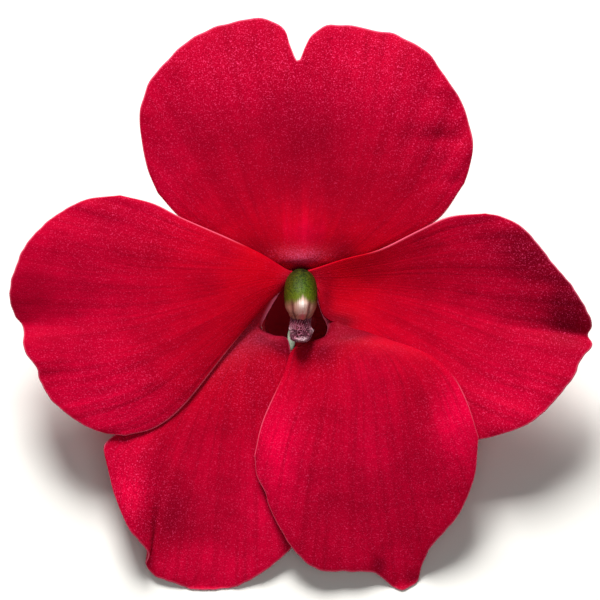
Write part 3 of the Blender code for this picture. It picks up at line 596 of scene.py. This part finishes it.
def lobeGrid(lobe):
    # point(u, v) = a rung between the two sides at v, plus the rim's stand-off from the last rung
    # at u, which counts from the lobe's still foot outwards with the square of the way to the rim,
    # plus the relief and the swells; u and v are even in length along rim and sides.
    # Inside the lobe the rim counts smoothed, so that a notch or nick stays near the edge.
    dense = blade["dense"]
    rungs = np.array(lobe["rungs"], float)
    first, second = smoothCurve(rungs[:, 0], dense), smoothCurve(rungs[:, 1], dense)
    rim = smoothCurve([lobe["rungs"][-1][0], *lobe["rim"], lobe["rungs"][-1][1]], dense)
    close = np.array(blade["edgeSteps"])
    rows, columns = blade["along"] - len(close) - 1, blade["across"] - 2 * len(close) - 2
    v = np.concatenate([np.linspace(0, 1 - 2 * close[-1], rows), 1 - close[::-1], [1]])[:, None]
    u = np.concatenate([[0], close, np.linspace(2 * close[-1], 1 - 2 * close[-1], columns),
                        1 - close[::-1], [1]])[None, :]
    places = placesAt((first + second) / 2, v[:, 0])
    a, b = pointsAt(first, places)[:, None, :], pointsAt(second, places)[:, None, :]
    even = np.linspace(0, 1, dense)
    chord = ((1 - even) * first[-1][:, None] + even * second[-1][:, None]).T
    standOff = pointsAt(rim, placesAt(rim, even)) - chord
    soft = softened(standOff, int(dense * blade["rimSoftness"]))
    standOff, soft = pointsAt(standOff, u), pointsAt(soft, u)
    wobble = sum(np.sin(2 * np.pi * waves * u + waves * len(rim)) for waves in blade["nibbles"])
    standOff = standOff * (1 + blade["nibble"] * wobble[..., None])
    grid = (1 - u[..., None]) * a + u[..., None] * b
    outer = np.clip((v[..., None] - lobe["still"]) / (1 - lobe["still"]), 0, 1)
    grid = grid + outer ** 2 * soft + outer ** blade["rimReach"] * (standOff - soft)
    grid[..., 1] -= lobe.get("wrap", 0.0) * (2 * u - 1) ** 2 * (1 - ramp(v, *blade["wrapSpan"]))
    grid[..., 2] += lobeRelief(lobe, u, v) + hills(lobe["swells"], grid[..., 0], grid[..., 1])
    return grid, np.broadcast_to(u, grid.shape[:2]), np.broadcast_to(v, grid.shape[:2])


def edgeGap(grid):
    # distance over the blade to the nearest of its two sides and its rim
    stepU = np.linalg.norm(np.diff(grid, axis=1), axis=-1)
    stepV = np.linalg.norm(np.diff(grid, axis=0), axis=-1)
    fromFirst = np.pad(np.cumsum(stepU, axis=1), ((0, 0), (1, 0)))
    fromFoot = np.pad(np.cumsum(stepV, axis=0), ((1, 0), (0, 0)))
    return np.minimum(np.minimum(fromFirst, fromFirst[:, -1:] - fromFirst), fromFoot[-1:] - fromFoot)


def thinned(form, gap):
    # thickness that grows from the edge to the middle's with the distance from the rim
    return form["edge"] + (form["middle"] - form["edge"]) * (1 - np.exp(-gap / form["taper"]))


def bladeSkin(grid, thick, fields, ridge=0.0):
    # a front and a back at half the thickness along the surface normal either way, the back by its
    # ridge more, closed by a ring half a thickness out of the edge, so that the rim is rounded
    rows, columns = grid.shape[:2]
    du, dv = np.gradient(grid, axis=1), np.gradient(grid, axis=0)
    normal = unit(np.cross(du, dv))
    facing = 1 if normal[..., 2].mean() > 0 else -1
    normal = normal * facing
    number = np.arange(rows * columns).reshape(rows, columns)
    loop = np.concatenate([number[0, :-1], number[:-1, -1], number[-1, :0:-1], number[:0:-1, 0]])
    out = np.concatenate([-dv[0, :-1], du[:-1, -1], dv[-1, :0:-1], -du[:0:-1, 0]])
    half = (thick / 2)[..., None]
    ring = grid.reshape(-1, 3)[loop] + unit(out) * half.reshape(-1, 1)[loop]
    back = half + np.broadcast_to(ridge, thick.shape)[..., None]
    points = np.concatenate([
        (grid + normal * half).reshape(-1, 3), (grid - normal * back).reshape(-1, 3), ring])
    total, steps = rows * columns, len(loop)
    here, after = np.arange(steps), (np.arange(steps) + 1) % steps
    faces = gridQuads(rows, columns)
    quads = np.concatenate([
        faces,
        faces[:, ::-1] + total,
        np.stack([loop[after], loop[here], 2 * total + here, 2 * total + after], -1),
        np.stack([2 * total + after, 2 * total + here, total + loop[here], total + loop[after]], -1),
    ])
    if facing < 0:
        quads = quads[:, ::-1]
    order = np.concatenate([number.ravel(), number.ravel(), loop])
    whole = {key: np.broadcast_to(value, (rows, columns)).ravel()[order] for key, value in fields.items()}
    whole["front"] = np.concatenate([np.ones(total), np.zeros(total), np.full(steps, 0.5)])
    placed = pressFlat(toPart(points), blade["floorGap"] * whole["front"])
    return {"points": placed, "quads": quads, "fans": np.zeros((0, 3), int), "fields": whole}


def petalBlade(lobe):
    # the lobe's grid as a blade that thins to its edge, with the fields that its finish reads
    grid, u, v = lobeGrid(lobe)
    x, y = grid[..., 0], grid[..., 1]
    gap = edgeGap(grid)
    thick = thinned(blade, gap) + (blade["claw"] - blade["middle"]) * (1 - ramp(v, *blade["clawSpan"]))
    # a green keel down the middle of the back, rounded in section and ending in a small point
    start, full, fall, end = blade["keelSpan"]
    point, reach, share = blade["keelPoint"]
    keel = bell(x, 0, blade["keelWidth"]) * ramp(y, start, full) * (1 - ramp(y, fall, end))
    ridge = lobe.get("keel", 0.0) * keel * (1 + share * bell(y, point, reach))
    margin = 0.0
    if "margin" in lobe:
        start, end, reach = lobe["margin"]
        rise, fall = blade["marginEnds"]
        margin = blade["marginShare"] * bell(gap, 0, reach) * (u > 0.5)      # on the second side
        margin = margin * ramp(v, start, start + rise) * (1 - ramp(v, end, end + fall))
    place, width, spread, share = lobe["band"]
    velvet, more, growth = blade["velvet"]
    rimFrom = lobe.get("rimFrom", blade["rimFrom"])
    fields = {
        "across": u, "along": v, "keel": keel * ("keel" in lobe),
        # a painted highlight along the free edge, broader on the margin by the throat
        "rimLine": bell(gap, 0, blade["rimLine"]) * ramp(v, rimFrom, rimFrom + blade["rimRise"]) + margin,
        # washed pink on the claw, partly its own colour, partly a painted highlight
        "claw": share * bell(v, place, width) * bell(u, 0.5, spread),
        "velvet": velvet + more * ramp(v, growth, 1.0) + hills(lobe["velvet"], x, y),
        # the claw's foot is brightened, painted light against the shade of its bend
        "foot": 1 - ramp(v, 0.5 * lobe["fold"], 1.15 * lobe["fold"]),
        # painted light and shade: hills that lighten the red where the lobe should look lit and darken it
        # where shaded
        "tone": hills(lobe["lightAndShade"], x, y),
    }
    return bladeSkin(grid, thick, fields, ridge)


for name, lobes, node in (("petalUpper", (upperLobe,), "petal_upper"),
                          ("petalPairLeft", (leftUpperLobe, leftLowerLobe), "petal_pair_left"),
                          ("petalPairRight", (rightUpperLobe, rightLowerLobe), "petal_pair_right")):
    putPiece(name, [petalBlade(lobe) for lobe in lobes], petalFinish, node)
print("petals made")

# Round pieces: rings carried along a path

def turns(count):
    # angles round a ring, in a row
    return np.linspace(0, 2 * np.pi, count, endpoint=False)[None, :]


def ringsOn(path, radius):
    # point(turn, place) = path + radius * (cos turn * side + sin turn * the other side), where the
    # two sides start at x and are carried along the path without twisting
    way = unit(np.gradient(path, axis=0))
    side = np.zeros_like(path)
    side[0] = 1, 0, 0
    for k in range(1, len(path)):
        side[k] = unit(side[k - 1] - way[k] * np.dot(side[k - 1], way[k]))
    other = np.cross(way, side)
    turn = turns(radius.shape[1])[..., None]
    out = side[:, None, :] * np.cos(turn) + other[:, None, :] * np.sin(turn)
    return path[:, None, :] + out * radius[..., None]


def ringSkin(rings, fields, inFlower=True):
    # closed rings joined by four-cornered faces, with a fan of triangles to a pole at each end
    rows, columns = rings.shape[:2]
    points = np.concatenate([rings.reshape(-1, 3), rings[:1].mean(axis=1), rings[-1:].mean(axis=1)])
    here, after = np.arange(columns), (np.arange(columns) + 1) % columns
    first, last, top = rows * columns, rows * columns + 1, (rows - 1) * columns
    fans = np.concatenate([
        np.stack([np.full(columns, first), after, here], -1),
        np.stack([np.full(columns, last), top + here, top + after], -1)])
    whole = {}
    for key, value in fields.items():
        value = np.broadcast_to(value, (rows, columns))
        whole[key] = np.concatenate([value.ravel(), value[:1].mean(axis=1), value[-1:].mean(axis=1)])
    placed = pressFlat(toPart(points) if inFlower else points.copy())
    return {"points": placed, "quads": gridQuads(rows, columns, closed=True), "fans": fans, "fields": whole}


def angleFrom(turn, place):
    # signed angle from a place on the ring, from -pi to pi
    return (turn - place + np.pi) % (2 * np.pi) - np.pi


def roundForm(form, aside=0.0):
    # a smooth path and radius through a spine of (y, z, radius) points, in a plane beside the
    # flower's middle plane, and the turns and shares of the form's grid
    line = smoothCurve(form["spine"], form["rows"])
    path = np.stack([np.full(len(line), aside), line[:, 0], line[:, 1]], -1)
    return path, line[:, 2:], turns(form["columns"]), shareRows(form["rows"])


# Cap of joined stamens

hood = {
    # spine in the flower's middle plane, from the torus over the throat: y, z, radius
    "spine": [
        (1.0, -2.85, 0.78), (1.0, -2.0, 0.8), (0.85, -1.0, 0.93), (0.62, -0.1, 1.14), (0.25, 0.7, 1.28),
        (-0.6, 1.38, 1.36), (-1.4, 1.58, 1.22), (-1.85, 1.54, 1.0), (-2.15, 1.5, 0.84), (-2.4, 1.46, 0.6),
    ],
    "aside": -0.1,            # how far it stands beside the flower's middle plane
    "rows": 120, "columns": 240,
    "front": 1.42, "frontWidth": 0.46,      # radians on its ring where the pale middle filament is
    "wall": 0.4, "bore": 0.12, "hollow": 0.86,       # mm, least radius inside, and share hollowed
    # the rest is in shares of its length or of its radius
    "filaments": 5, "parted": (0.58, 0.68), "seamDepth": 0.1, "seamWidth": 0.13,
    "footSwell": 0.05, "bulge": (0.1, 0.66, 0.045),  # and the bulge's height, place and length
    "crownSwell": 0.04, "crownSpan": (0.4, 0.62), "pucker": 0.006, "streak": 0.005,
    "thread": 0.04, "threadSpan": (0.72, 0.82),
    # colours: strength, spread round the middle filament in radians, then place and length, or span
    "sun": (0.5, 0.9, 0.6, 0.035), "wet": (0.9, 0.2, 0.655, 0.03),
    "rose": (0.85, 0.3, 0.7, 0.8), "flank": (0.85, 0.75, 0.25, 0.45),
    "paleSpan": (0.58, 0.63, 0.76, 0.84),    # shares over which the bulge turns pale and ends
}


def stamenHood():
    # radius(turn, share) = the spine's radius, with rounded filaments parted by seams on the foot,
    # a swollen middle filament, and a faint pucker of the skin
    path, radius, turn, share = roundForm(hood, hood["aside"])
    middle = angleFrom(turn, hood["front"])
    front = bell(middle, 0, hood["frontWidth"])
    toSeam = np.abs(angleFrom((turn - np.pi / 2) * hood["filaments"], np.pi)) / hood["filaments"]
    seamLine = bell(toSeam, 0, hood["seamWidth"])
    foot = ramp(share, *hood["parted"])
    height, place, length = hood["bulge"]
    form = 1 + foot * (hood["footSwell"] - hood["seamDepth"] * seamLine)
    form = form + height * front * bell(share, place, length)
    form = form + hood["pucker"] * np.sin(17 * turn + 9 * share) * np.sin(41 * share + 3 * turn)
    # the crown is broader than deep
    form = form + (1 - ramp(share, *hood["crownSpan"])) * (hood["crownSwell"] * np.cos(turn) ** 2)
    form = form + hood["streak"] * front * ramp(share, 0.55, 0.62) * np.sin(34 * turn + 2 * np.sin(9 * turn))
    threads = np.sin(11 * turn + 2.4 * np.sin(19 * share) + 1.5 * np.sin(3 * turn))
    threads = (1 - 0.8 * front) * ramp(share, *hood["threadSpan"]) * threads
    form = form + hood["thread"] * threads
    outer = ringsOn(path, radius * form)
    inner = ringsOn(path, np.maximum(radius - hood["wall"], hood["bore"]) * np.ones_like(turn))
    inner = inner[: int(hood["rows"] * hood["hollow"])][::-1]
    jagged = share + 0.005 * np.sin(11 * turn + 2) + 0.004 * np.sin(29 * turn) + 0.003 * np.sin(53 * turn)
    streaks = 0.5 + 0.5 * np.sin(38 * turn + 1.5 * np.sin(11 * turn) + 5 * share)
    streaky = 0.7 + 0.3 * streaks
    paling, pale, fading, faded = hood["paleSpan"]
    masks = {
        "along": share,
        "seam": 0.75 * np.maximum(foot * seamLine, ramp(threads, 0.1, 0.9) * 0.7),
        "bulge": front * ramp(share + 0.012 * streaks - 0.09 * np.abs(middle), paling, pale)
                 * (1 - ramp(share, fading, faded)) * streaky,
    }
    strength, spread, place, length = hood["sun"]
    masks["sun"] = strength * bell(middle, 0, spread) * bell(jagged, place, length)
    # a painted highlight: near-white streaks on the bulge
    strength, spread, place, length = hood["wet"]
    masks["wet"] = strength * bell(middle, 0.08, spread) * bell(share, place, length) * (0.4 + 0.6 * streaks)
    strength, spread, start, full = hood["rose"]
    rosy = ramp(share + 0.04 * streaks, start, full)
    masks["rose"] = strength * bell(middle, 0.02, spread) * rosy * streaky
    strength, spread, start, full = hood["flank"]
    masks["flank"] = strength * (1 - bell(middle, 0, spread)) * ramp(share, start, full)
    inside = np.zeros((len(inner), hood["columns"]))      # the bore takes no part in the masks
    fields = {key: np.concatenate([inside, np.broadcast_to(mask, form.shape)]) for key, mask in masks.items()}
    return ringSkin(np.concatenate([inner, outer]), fields)


# Anthers below the cap

antherForm = {
    "spine": [
        (-1.9, 1.5, 0.6), (-2.15, 1.46, 0.74), (-2.55, 1.42, 0.74), (-2.95, 1.38, 0.82), (-3.3, 1.34, 0.86),
        (-3.75, 1.36, 0.78), (-4.1, 1.4, 0.66), (-4.3, 1.42, 0.4),
    ],
    "rows": 190, "columns": 300,
    "lump": 0.055, "lumps": (2, 3, 4, 6, 7, 9),      # share of the radius, and waves round it
    "warps": ((2, 1.3), (3, 1.2), (5, 0.9), (8, 0.6)),       # waves round it that bend the crests
    "crinkle": 0.08, "lip": 0.2,                     # mm that crests and lip stand out
    "neck": (0.3, 0.5),                              # shares between which strands turn to crests
    "grains": 150, "grainSize": 0.03, "grainSink": 0.4,      # mm, as real pollen
}


def anthers():
    # radius(turn, share) = the spine's radius with uneven lumps, raised along the crests of waves
    # that are bent round each other, like the curled edges of burst sacs, and drawn out to a lip
    path, radius, turn, share = roundForm(antherForm, hood["aside"])
    draw = np.random.default_rng(bloom["seed"] + 2)
    swell = np.sin(np.pi * np.clip(share, 0, 1)) ** 0.6
    lumps = sum(antherForm["lump"] * np.sin(waves * turn + draw.uniform(4, 12) * share + draw.uniform(0, 6.3))
                for waves in antherForm["lumps"])
    warp = sum(size * np.sin(waves * turn + draw.uniform(-14, 14) * share + draw.uniform(0, 6.3))
               for waves, size in antherForm["warps"])
    neck = 1 - ramp(share, *antherForm["neck"])
    first = bell(np.sin(9 * turn + 6 * share + 1.6 * warp), 0, 0.3)
    second = bell(np.sin(3 * turn - 22 * share + 1.9 * warp), 0, 0.26)
    strands = bell(np.sin(13 * turn + 2 * np.sin(11 * share) + 0.5 * warp), 0, 0.3)
    ridge = np.maximum(first, 0.9 * second) * (1 - neck) + 0.7 * strands * neck
    front = angleFrom(turn, np.pi / 2)
    frill = 0.75 + 0.25 * np.sin(17 * turn + 2 * warp)
    # the lip stands out and takes a pale colour, partly its own and partly painted light
    lip = bell(front, -0.15, 0.55) * ramp(share, 0.74, 0.9) * (1 - ramp(share, 0.93, 0.98)) * frill * 1.2
    lip = lip + 0.6 * bell(np.abs(front), 1.3, 0.3) * bell(share, 0.56, 0.12) * frill
    form = radius * (1 + swell * lumps) + antherForm["crinkle"] * ridge * swell ** 0.4
    form = form + antherForm["lip"] * lip
    return ringSkin(ringsOn(path, form), {"ridge": 0.9 * ridge, "lip": np.clip(lip, 0, 1)})


def pollen(skin):
    # eight-faced grains scattered over the anthers, each sunk a little into the skin
    draw = np.random.default_rng(bloom["seed"] + 1)
    size, count = antherForm["grainSize"], antherForm["grains"]
    places = skin["points"][draw.integers(0, len(skin["points"]), count)]
    out = unit(places - skin["points"].mean(axis=0))
    corners = np.array([(1, 0, 0), (-1, 0, 0), (0, 1, 0), (0, -1, 0), (0, 0, 1), (0, 0, -1)], float)
    faces = np.array([(0, 2, 4), (2, 1, 4), (1, 3, 4), (3, 0, 4), (2, 0, 5), (1, 2, 5), (3, 1, 5), (0, 3, 5)])
    scale = size * draw.uniform(0.7, 1.2, (count, 1, 1))
    points = (places + antherForm["grainSink"] * size * out)[:, None, :] + corners[None] * scale
    fans = (faces[None] + len(corners) * np.arange(count)[:, None, None]).reshape(-1, 3)
    return {"points": points.reshape(-1, 3), "quads": np.zeros((0, 4), int), "fans": fans,
            "fields": {"lip": 0.5}}


putPiece("stamenHood", [stamenHood()], hoodFinish, "stamen_hood")
antherSurface = anthers()
putPiece("antherFrill", [antherSurface, pollen(antherSurface)], antherFinish, "anthers")
print("stamens made")

# Pistil inside the cap

pistilForm = {
    "spine": [
        (1.1, -2.85, 0.2), (1.08, -2.0, 0.22), (0.95, -1.0, 0.3), (0.65, 0.0, 0.46), (0.15, 0.72, 0.56),
        (-0.55, 1.2, 0.44), (-1.15, 1.4, 0.18), (-1.25, 1.42, 0.06),
    ],
    "rows": 50, "columns": 60, "furrows": 5, "furrowDepth": 0.06,    # share of the radius
}


def pistil():
    # radius(turn, share) = the spine's radius with shallow furrows down the ovary
    path, radius, turn, share = roundForm(pistilForm)
    furrow = pistilForm["furrowDepth"] * np.cos(pistilForm["furrows"] * turn)
    rings = ringsOn(path, radius * (1 + furrow * np.sin(np.pi * share)))
    return ringSkin(rings, {"across": turn})


putPiece("pistilOvary", [pistil()], pistilFinish, "pistil")
print("pistil made")

# Sepals

spur = {
    # rings of the pouch: centre y, centre z, half width, half height, lean in degrees
    "pouch": [
        (-2.3, -2.1, 3.4, 3.3, 18.0), (-2.75, -3.1, 3.1, 2.6, 16.0), (-2.85, -4.3, 2.45, 1.85, 12.0),
        (-2.6, -5.3, 1.45, 1.2, 8.0), (-2.5, -5.9, 0.8, 0.75, 4.0),
    ],
    "wall": 0.35, "columns": 192,
    "depth": 3,               # the ring at which the hollow ends
    "lip": 0.12,              # share by which the mouth is broader at its lower side
    "lipRoll": (0, 0.06, 0.2),       # how far its rolled edge stands out
    # the spur's route on the surface, in the part's frame, and its radii
    "route": [
        (-0.3, 1.5, 1.45), (-1.3, 2.4, 0.85), (-3.2, 3.0, 0.55), (-5.8, 3.1, 0.45), (-8.4, 2.2, 0.42),
        (-10.8, 0.2, 0.4), (-12.3, -2.8, 0.39), (-12.8, -6.2, 0.38), (-12.0, -9.6, 0.36),
        (-10.0, -12.6, 0.35), (-7.0, -14.6, 0.34),
    ],
    "radius": 0.62, "tip": 0.42, "rounding": 0.02,   # share of the spur over which its tip closes
    # the pale flap that shows between the lower petals: left x, right x, y, z
    "flap": [
        (-1.02, -0.5, -3.3, -2.3), (-1.12, -0.5, -3.7, -1.75), (-1.11, -0.58, -4.1, -1.35),
        (-1.04, -0.7, -4.6, -1.15), (-0.96, -0.8, -4.95, -1.15), (-0.9, -0.86, -5.2, -1.45),
    ],
    "flapGrid": (60, 25), "flapThickness": 0.22, "flapArch": 0.09,
}


def pouchRings(grow, count, last):
    # ellipses that lean; the mouth is broader at its lower lip
    rings = smoothCurve(spur["pouch"][: last + 1], count)
    turn = turns(spur["columns"])
    y, z, wide, high, lean = (rings[:, k:k + 1] for k in range(5))
    lean = np.radians(lean)
    up = (high + grow) * np.sin(turn)
    return np.stack([(wide + grow) * np.cos(turn) * (1 - spur["lip"] * np.sin(turn)),
                     y + up * np.cos(lean), z - up * np.sin(lean)], -1)


def spurredSepal():
    # an open pouch, its inner wall run down to a floor, its outer wall run on into the spur
    outer = toPart(pouchRings(0.0, 40, len(spur["pouch"]) - 1))
    inner = toPart(pouchRings(-spur["wall"], 26, spur["depth"]))[::-1]
    lipRoll = toPart(pouchRings(-spur["wall"] / 2, 2, 1)[:1] + np.array(spur["lipRoll"]))
    # the pouch runs into the spur over its first rings
    path = smoothCurve([outer[-1].mean(axis=0), *spur["route"]], 150)[4:]
    turn, share = turns(spur["columns"]), shareRows(len(path))
    radius = spur["radius"] + (spur["tip"] - spur["radius"]) * share
    closing = np.sqrt(np.clip((1 - share) / spur["rounding"], 0.02, 1))
    tube = ringsOn(path, radius * closing * np.ones_like(turn))
    rings = np.concatenate([inner, lipRoll, outer, tube])
    hidden, seen = len(inner) + 1, len(outer) + len(tube)
    inside = np.concatenate([np.ones(hidden), np.zeros(seen)])[:, None]
    along = np.concatenate([np.zeros(hidden), np.linspace(0, 1, seen)])[:, None]
    # the outside is crimson too round the mouth, behind the claws
    stained = np.maximum(inside, 1 - ramp(along, 0.02, 0.06))
    return ringSkin(rings, {"inside": stained, "across": turn / (2 * np.pi)}, inFlower=False)


def sepalFlap():
    # rows between the flap's two sides, arched across, standing on the pouch's rim by the narrow end
    rows, columns = spur["flapGrid"]
    line = smoothCurve(spur["flap"], rows)
    u = np.linspace(0, 1, columns)[None, :]
    x = line[:, :1] + (line[:, 1:2] - line[:, :1]) * u
    z = line[:, 3:] + spur["flapArch"] * 4 * u * (1 - u)
    grid = np.stack([x, line[:, 2:3] + 0 * u, z], -1)
    thick = np.full((rows, columns), spur["flapThickness"])
    return bladeSkin(grid, thick, {"across": u, "lip": 1.0})


sideSepal = {
    # x, y, z, half width from the torus out behind the side petals
    "midrib": [
        (1.45, 2.0, -4.05, 0.45), (2.35, 2.75, -3.7, 1.0), (3.6, 3.7, -3.15, 1.25), (5.0, 4.5, -2.6, 0.95),
        (6.3, 5.1, -2.2, 0.45), (7.0, 5.3, -2.1, 0.1),
    ],
    "rows": 60, "columns": 41, "middle": 0.35, "edge": 0.12, "taper": 0.3,       # mm thick
    "arch": 0.25, "crease": (0.1, 0.12),             # shares of its half width; the crease's spread
    "ribs": (0.01, 18),       # mm, and radians across half of it
}


def sideSepalBlade(side):
    # the midrib's curve, widened square to itself, arched down to both edges and creased along it
    line = smoothCurve(sideSepal["midrib"], sideSepal["rows"])
    way = unit(np.gradient(line[:, :2], axis=0))
    u = np.linspace(-1, 1, sideSepal["columns"])[None, :]
    half = line[:, 3:]
    depth, spread = sideSepal["crease"]
    height, waves = sideSepal["ribs"]
    x = line[:, :1] - way[:, 1:] * half * u
    y = line[:, 1:2] + way[:, :1] * half * u
    z = line[:, 2:3] - sideSepal["arch"] * half * u**2 - depth * bell(u, 0, spread) * half
    grid = np.stack([x * side, y, z + height * np.sin(waves * u)], -1)
    return bladeSkin(grid, thinned(sideSepal, edgeGap(grid)), {"across": u / 2})


putPiece("sepalSpurred", [spurredSepal(), sepalFlap()], spurFinish, "sepal_spurred")
putPiece("sepalLeft", [sideSepalBlade(-1)], sepalFinish, "sepal_left")
putPiece("sepalRight", [sideSepalBlade(1)], sepalFinish, "sepal_right")
print("sepals made")

# Stalk with the torus

stalkForm = {
    # torus: y, z, radius in the flower's frame; then the stem's route in the part's frame
    "torus": [
        (1.1, -3.5, 1.36), (1.1, -3.75, 1.4), (1.12, -4.05, 1.33), (1.15, -4.4, 1.05), (1.2, -4.8, 0.72),
    ],
    "route": [
        (0.05, 3.8, 4.4), (0.3, 4.6, 2.8), (0.9, 6.0, 1.45), (1.9, 8.2, 0.75), (3.1, 11.0, 0.52),
        (4.2, 14.0, 0.5), (5.0, 17.4, 0.5), (5.2, 21.0, 0.5),
    ],
    "radius": 0.6, "rows": 170, "columns": 48, "ribs": 7, "ribHeight": 0.025,    # share of the radius
    "ribSpan": (0.3, 0.4), "crimson": (0.05, 0.12),      # shares of its length: ribs start, crimson ends
    # rings of the cut end: share of its radius, mm that it sinks, and how much of the cut shows
    "cut": ((0.96, -0.03, 0.6), (0.8, 0.0, 1.0), (0.5, 0.05, 1.0), (0.2, 0.07, 0.8)),
}


def stalkTube():
    # a tube from the torus to the cut, with shallow ribs, ending in a flat, slightly hollow cut
    torus = np.array([(*toPart((0, y, z)), r) for y, z, r in stalkForm["torus"]])
    stem = np.array([(*place, stalkForm["radius"]) for place in stalkForm["route"]])
    line = smoothCurve(np.concatenate([torus, stem]), stalkForm["rows"])
    path, radius = line[:, :3], line[:, 3:]
    turn, share = turns(stalkForm["columns"]), shareRows(len(path))
    ribs = stalkForm["ribHeight"] * np.cos(stalkForm["ribs"] * turn) * ramp(share, *stalkForm["ribSpan"])
    rings = ringsOn(path, radius * (1 + ribs))
    # the cut's rings shrink in the last ring's plane and sink a little
    way, middle = unit(path[-1] - path[-2]), path[-1]
    cuts = [middle + (rings[-1] - middle) * size - way * sink for size, sink, shown in stalkForm["cut"]]
    along = np.concatenate([share, np.ones((len(cuts), 1))])
    cut = np.concatenate([np.zeros(len(path)), [shown for size, sink, shown in stalkForm["cut"]]])[:, None]
    # the torus's face is crimson like the throat
    fields = {"across": turn / (2 * np.pi), "cut": cut, "inside": 1 - ramp(along, *stalkForm["crimson"])}
    return ringSkin(np.concatenate([rings, np.array(cuts)]), fields, inFlower=False)


putPiece("stalkStem", [stalkTube()], stalkFinish, "stalk")
print("stalk made")

# Floor, light and camera

studio = {
    "floor": 2400.0, "drop": 0.02, "floorTone": "#dedcd6",       # mm across, and mm below the part
    "sky": "#d8dade", "skyStrength": 0.16,
    # each light: its place in the flower's frame in mm, its side in mm, its watts
    "lights": {
        "topBox": ((-40.0, 290.0, 165.0), 140.0, 2.3),
        "frontFill": ((30.0, -60.0, 360.0), 240.0, 0.3),
    },
}
lens = {
    "aim": (-0.165, -0.825, 0.0),       # what the picture's middle shows, in the flower's frame
    "away": 420.0,                      # mm
    "width": 49.5,                      # mm of the flower's face across the picture
    "sensor": 36.0,                     # mm
}
half, drop = studio["floor"] / 2 * mm, -studio["drop"] * mm
floorMesh = bpy.data.meshes.new("floor")
floorMesh.from_pydata(
    [(-half, -half, drop), (half, -half, drop), (half, half, drop), (-half, half, drop)], [], [(0, 1, 2, 3)])
# matt paper: a soft pale ground for the shadow
floorFinish = bpy.data.materials.new("paperFloor")
floorFinish.use_nodes = True
fillSockets(floorFinish.node_tree, floorFinish.node_tree.nodes["Principled BSDF"], {
    "Base Color": hexToLinear(studio["floorTone"]), "Roughness": 0.9})
floorMesh.materials.append(floorFinish)
floor = bpy.data.objects.new("floor", floorMesh)
bpy.context.scene.collection.objects.link(floor)

for name, (place, side, watts) in studio["lights"].items():
    lamp = bpy.data.lights.new(name, "AREA")
    lamp.size = side * mm
    lamp.energy = watts
    holder = bpy.data.objects.new(name, lamp)
    holder.location = toPart(place) * mm
    aim = Vector(toPart((0, 0, 0)) * mm) - holder.location
    holder.rotation_euler = aim.to_track_quat("-Z", "Y").to_euler()
    bpy.context.scene.collection.objects.link(holder)

world = bpy.data.worlds.new("studio")
world.use_nodes = True
fillSockets(world.node_tree, world.node_tree.nodes["Background"], {
    "Color": hexToLinear(studio["sky"]), "Strength": studio["skyStrength"]})
bpy.context.scene.world = world
bpy.context.scene.view_settings.view_transform = "Standard"

camera = bpy.data.cameras.new("camera")
camera.sensor_width = lens["sensor"]
camera.lens = lens["sensor"] * lens["away"] / lens["width"]
camera.clip_start = 0.01
viewer = bpy.data.objects.new("camera", camera)
x, y, z = lens["aim"]
viewer.location = toPart((x, y, z + lens["away"])) * mm
viewer.rotation_euler = (np.radians(bloom["lean"]), 0, 0)
bpy.context.scene.collection.objects.link(viewer)
bpy.context.scene.camera = viewer
print("floor, lights and camera placed")
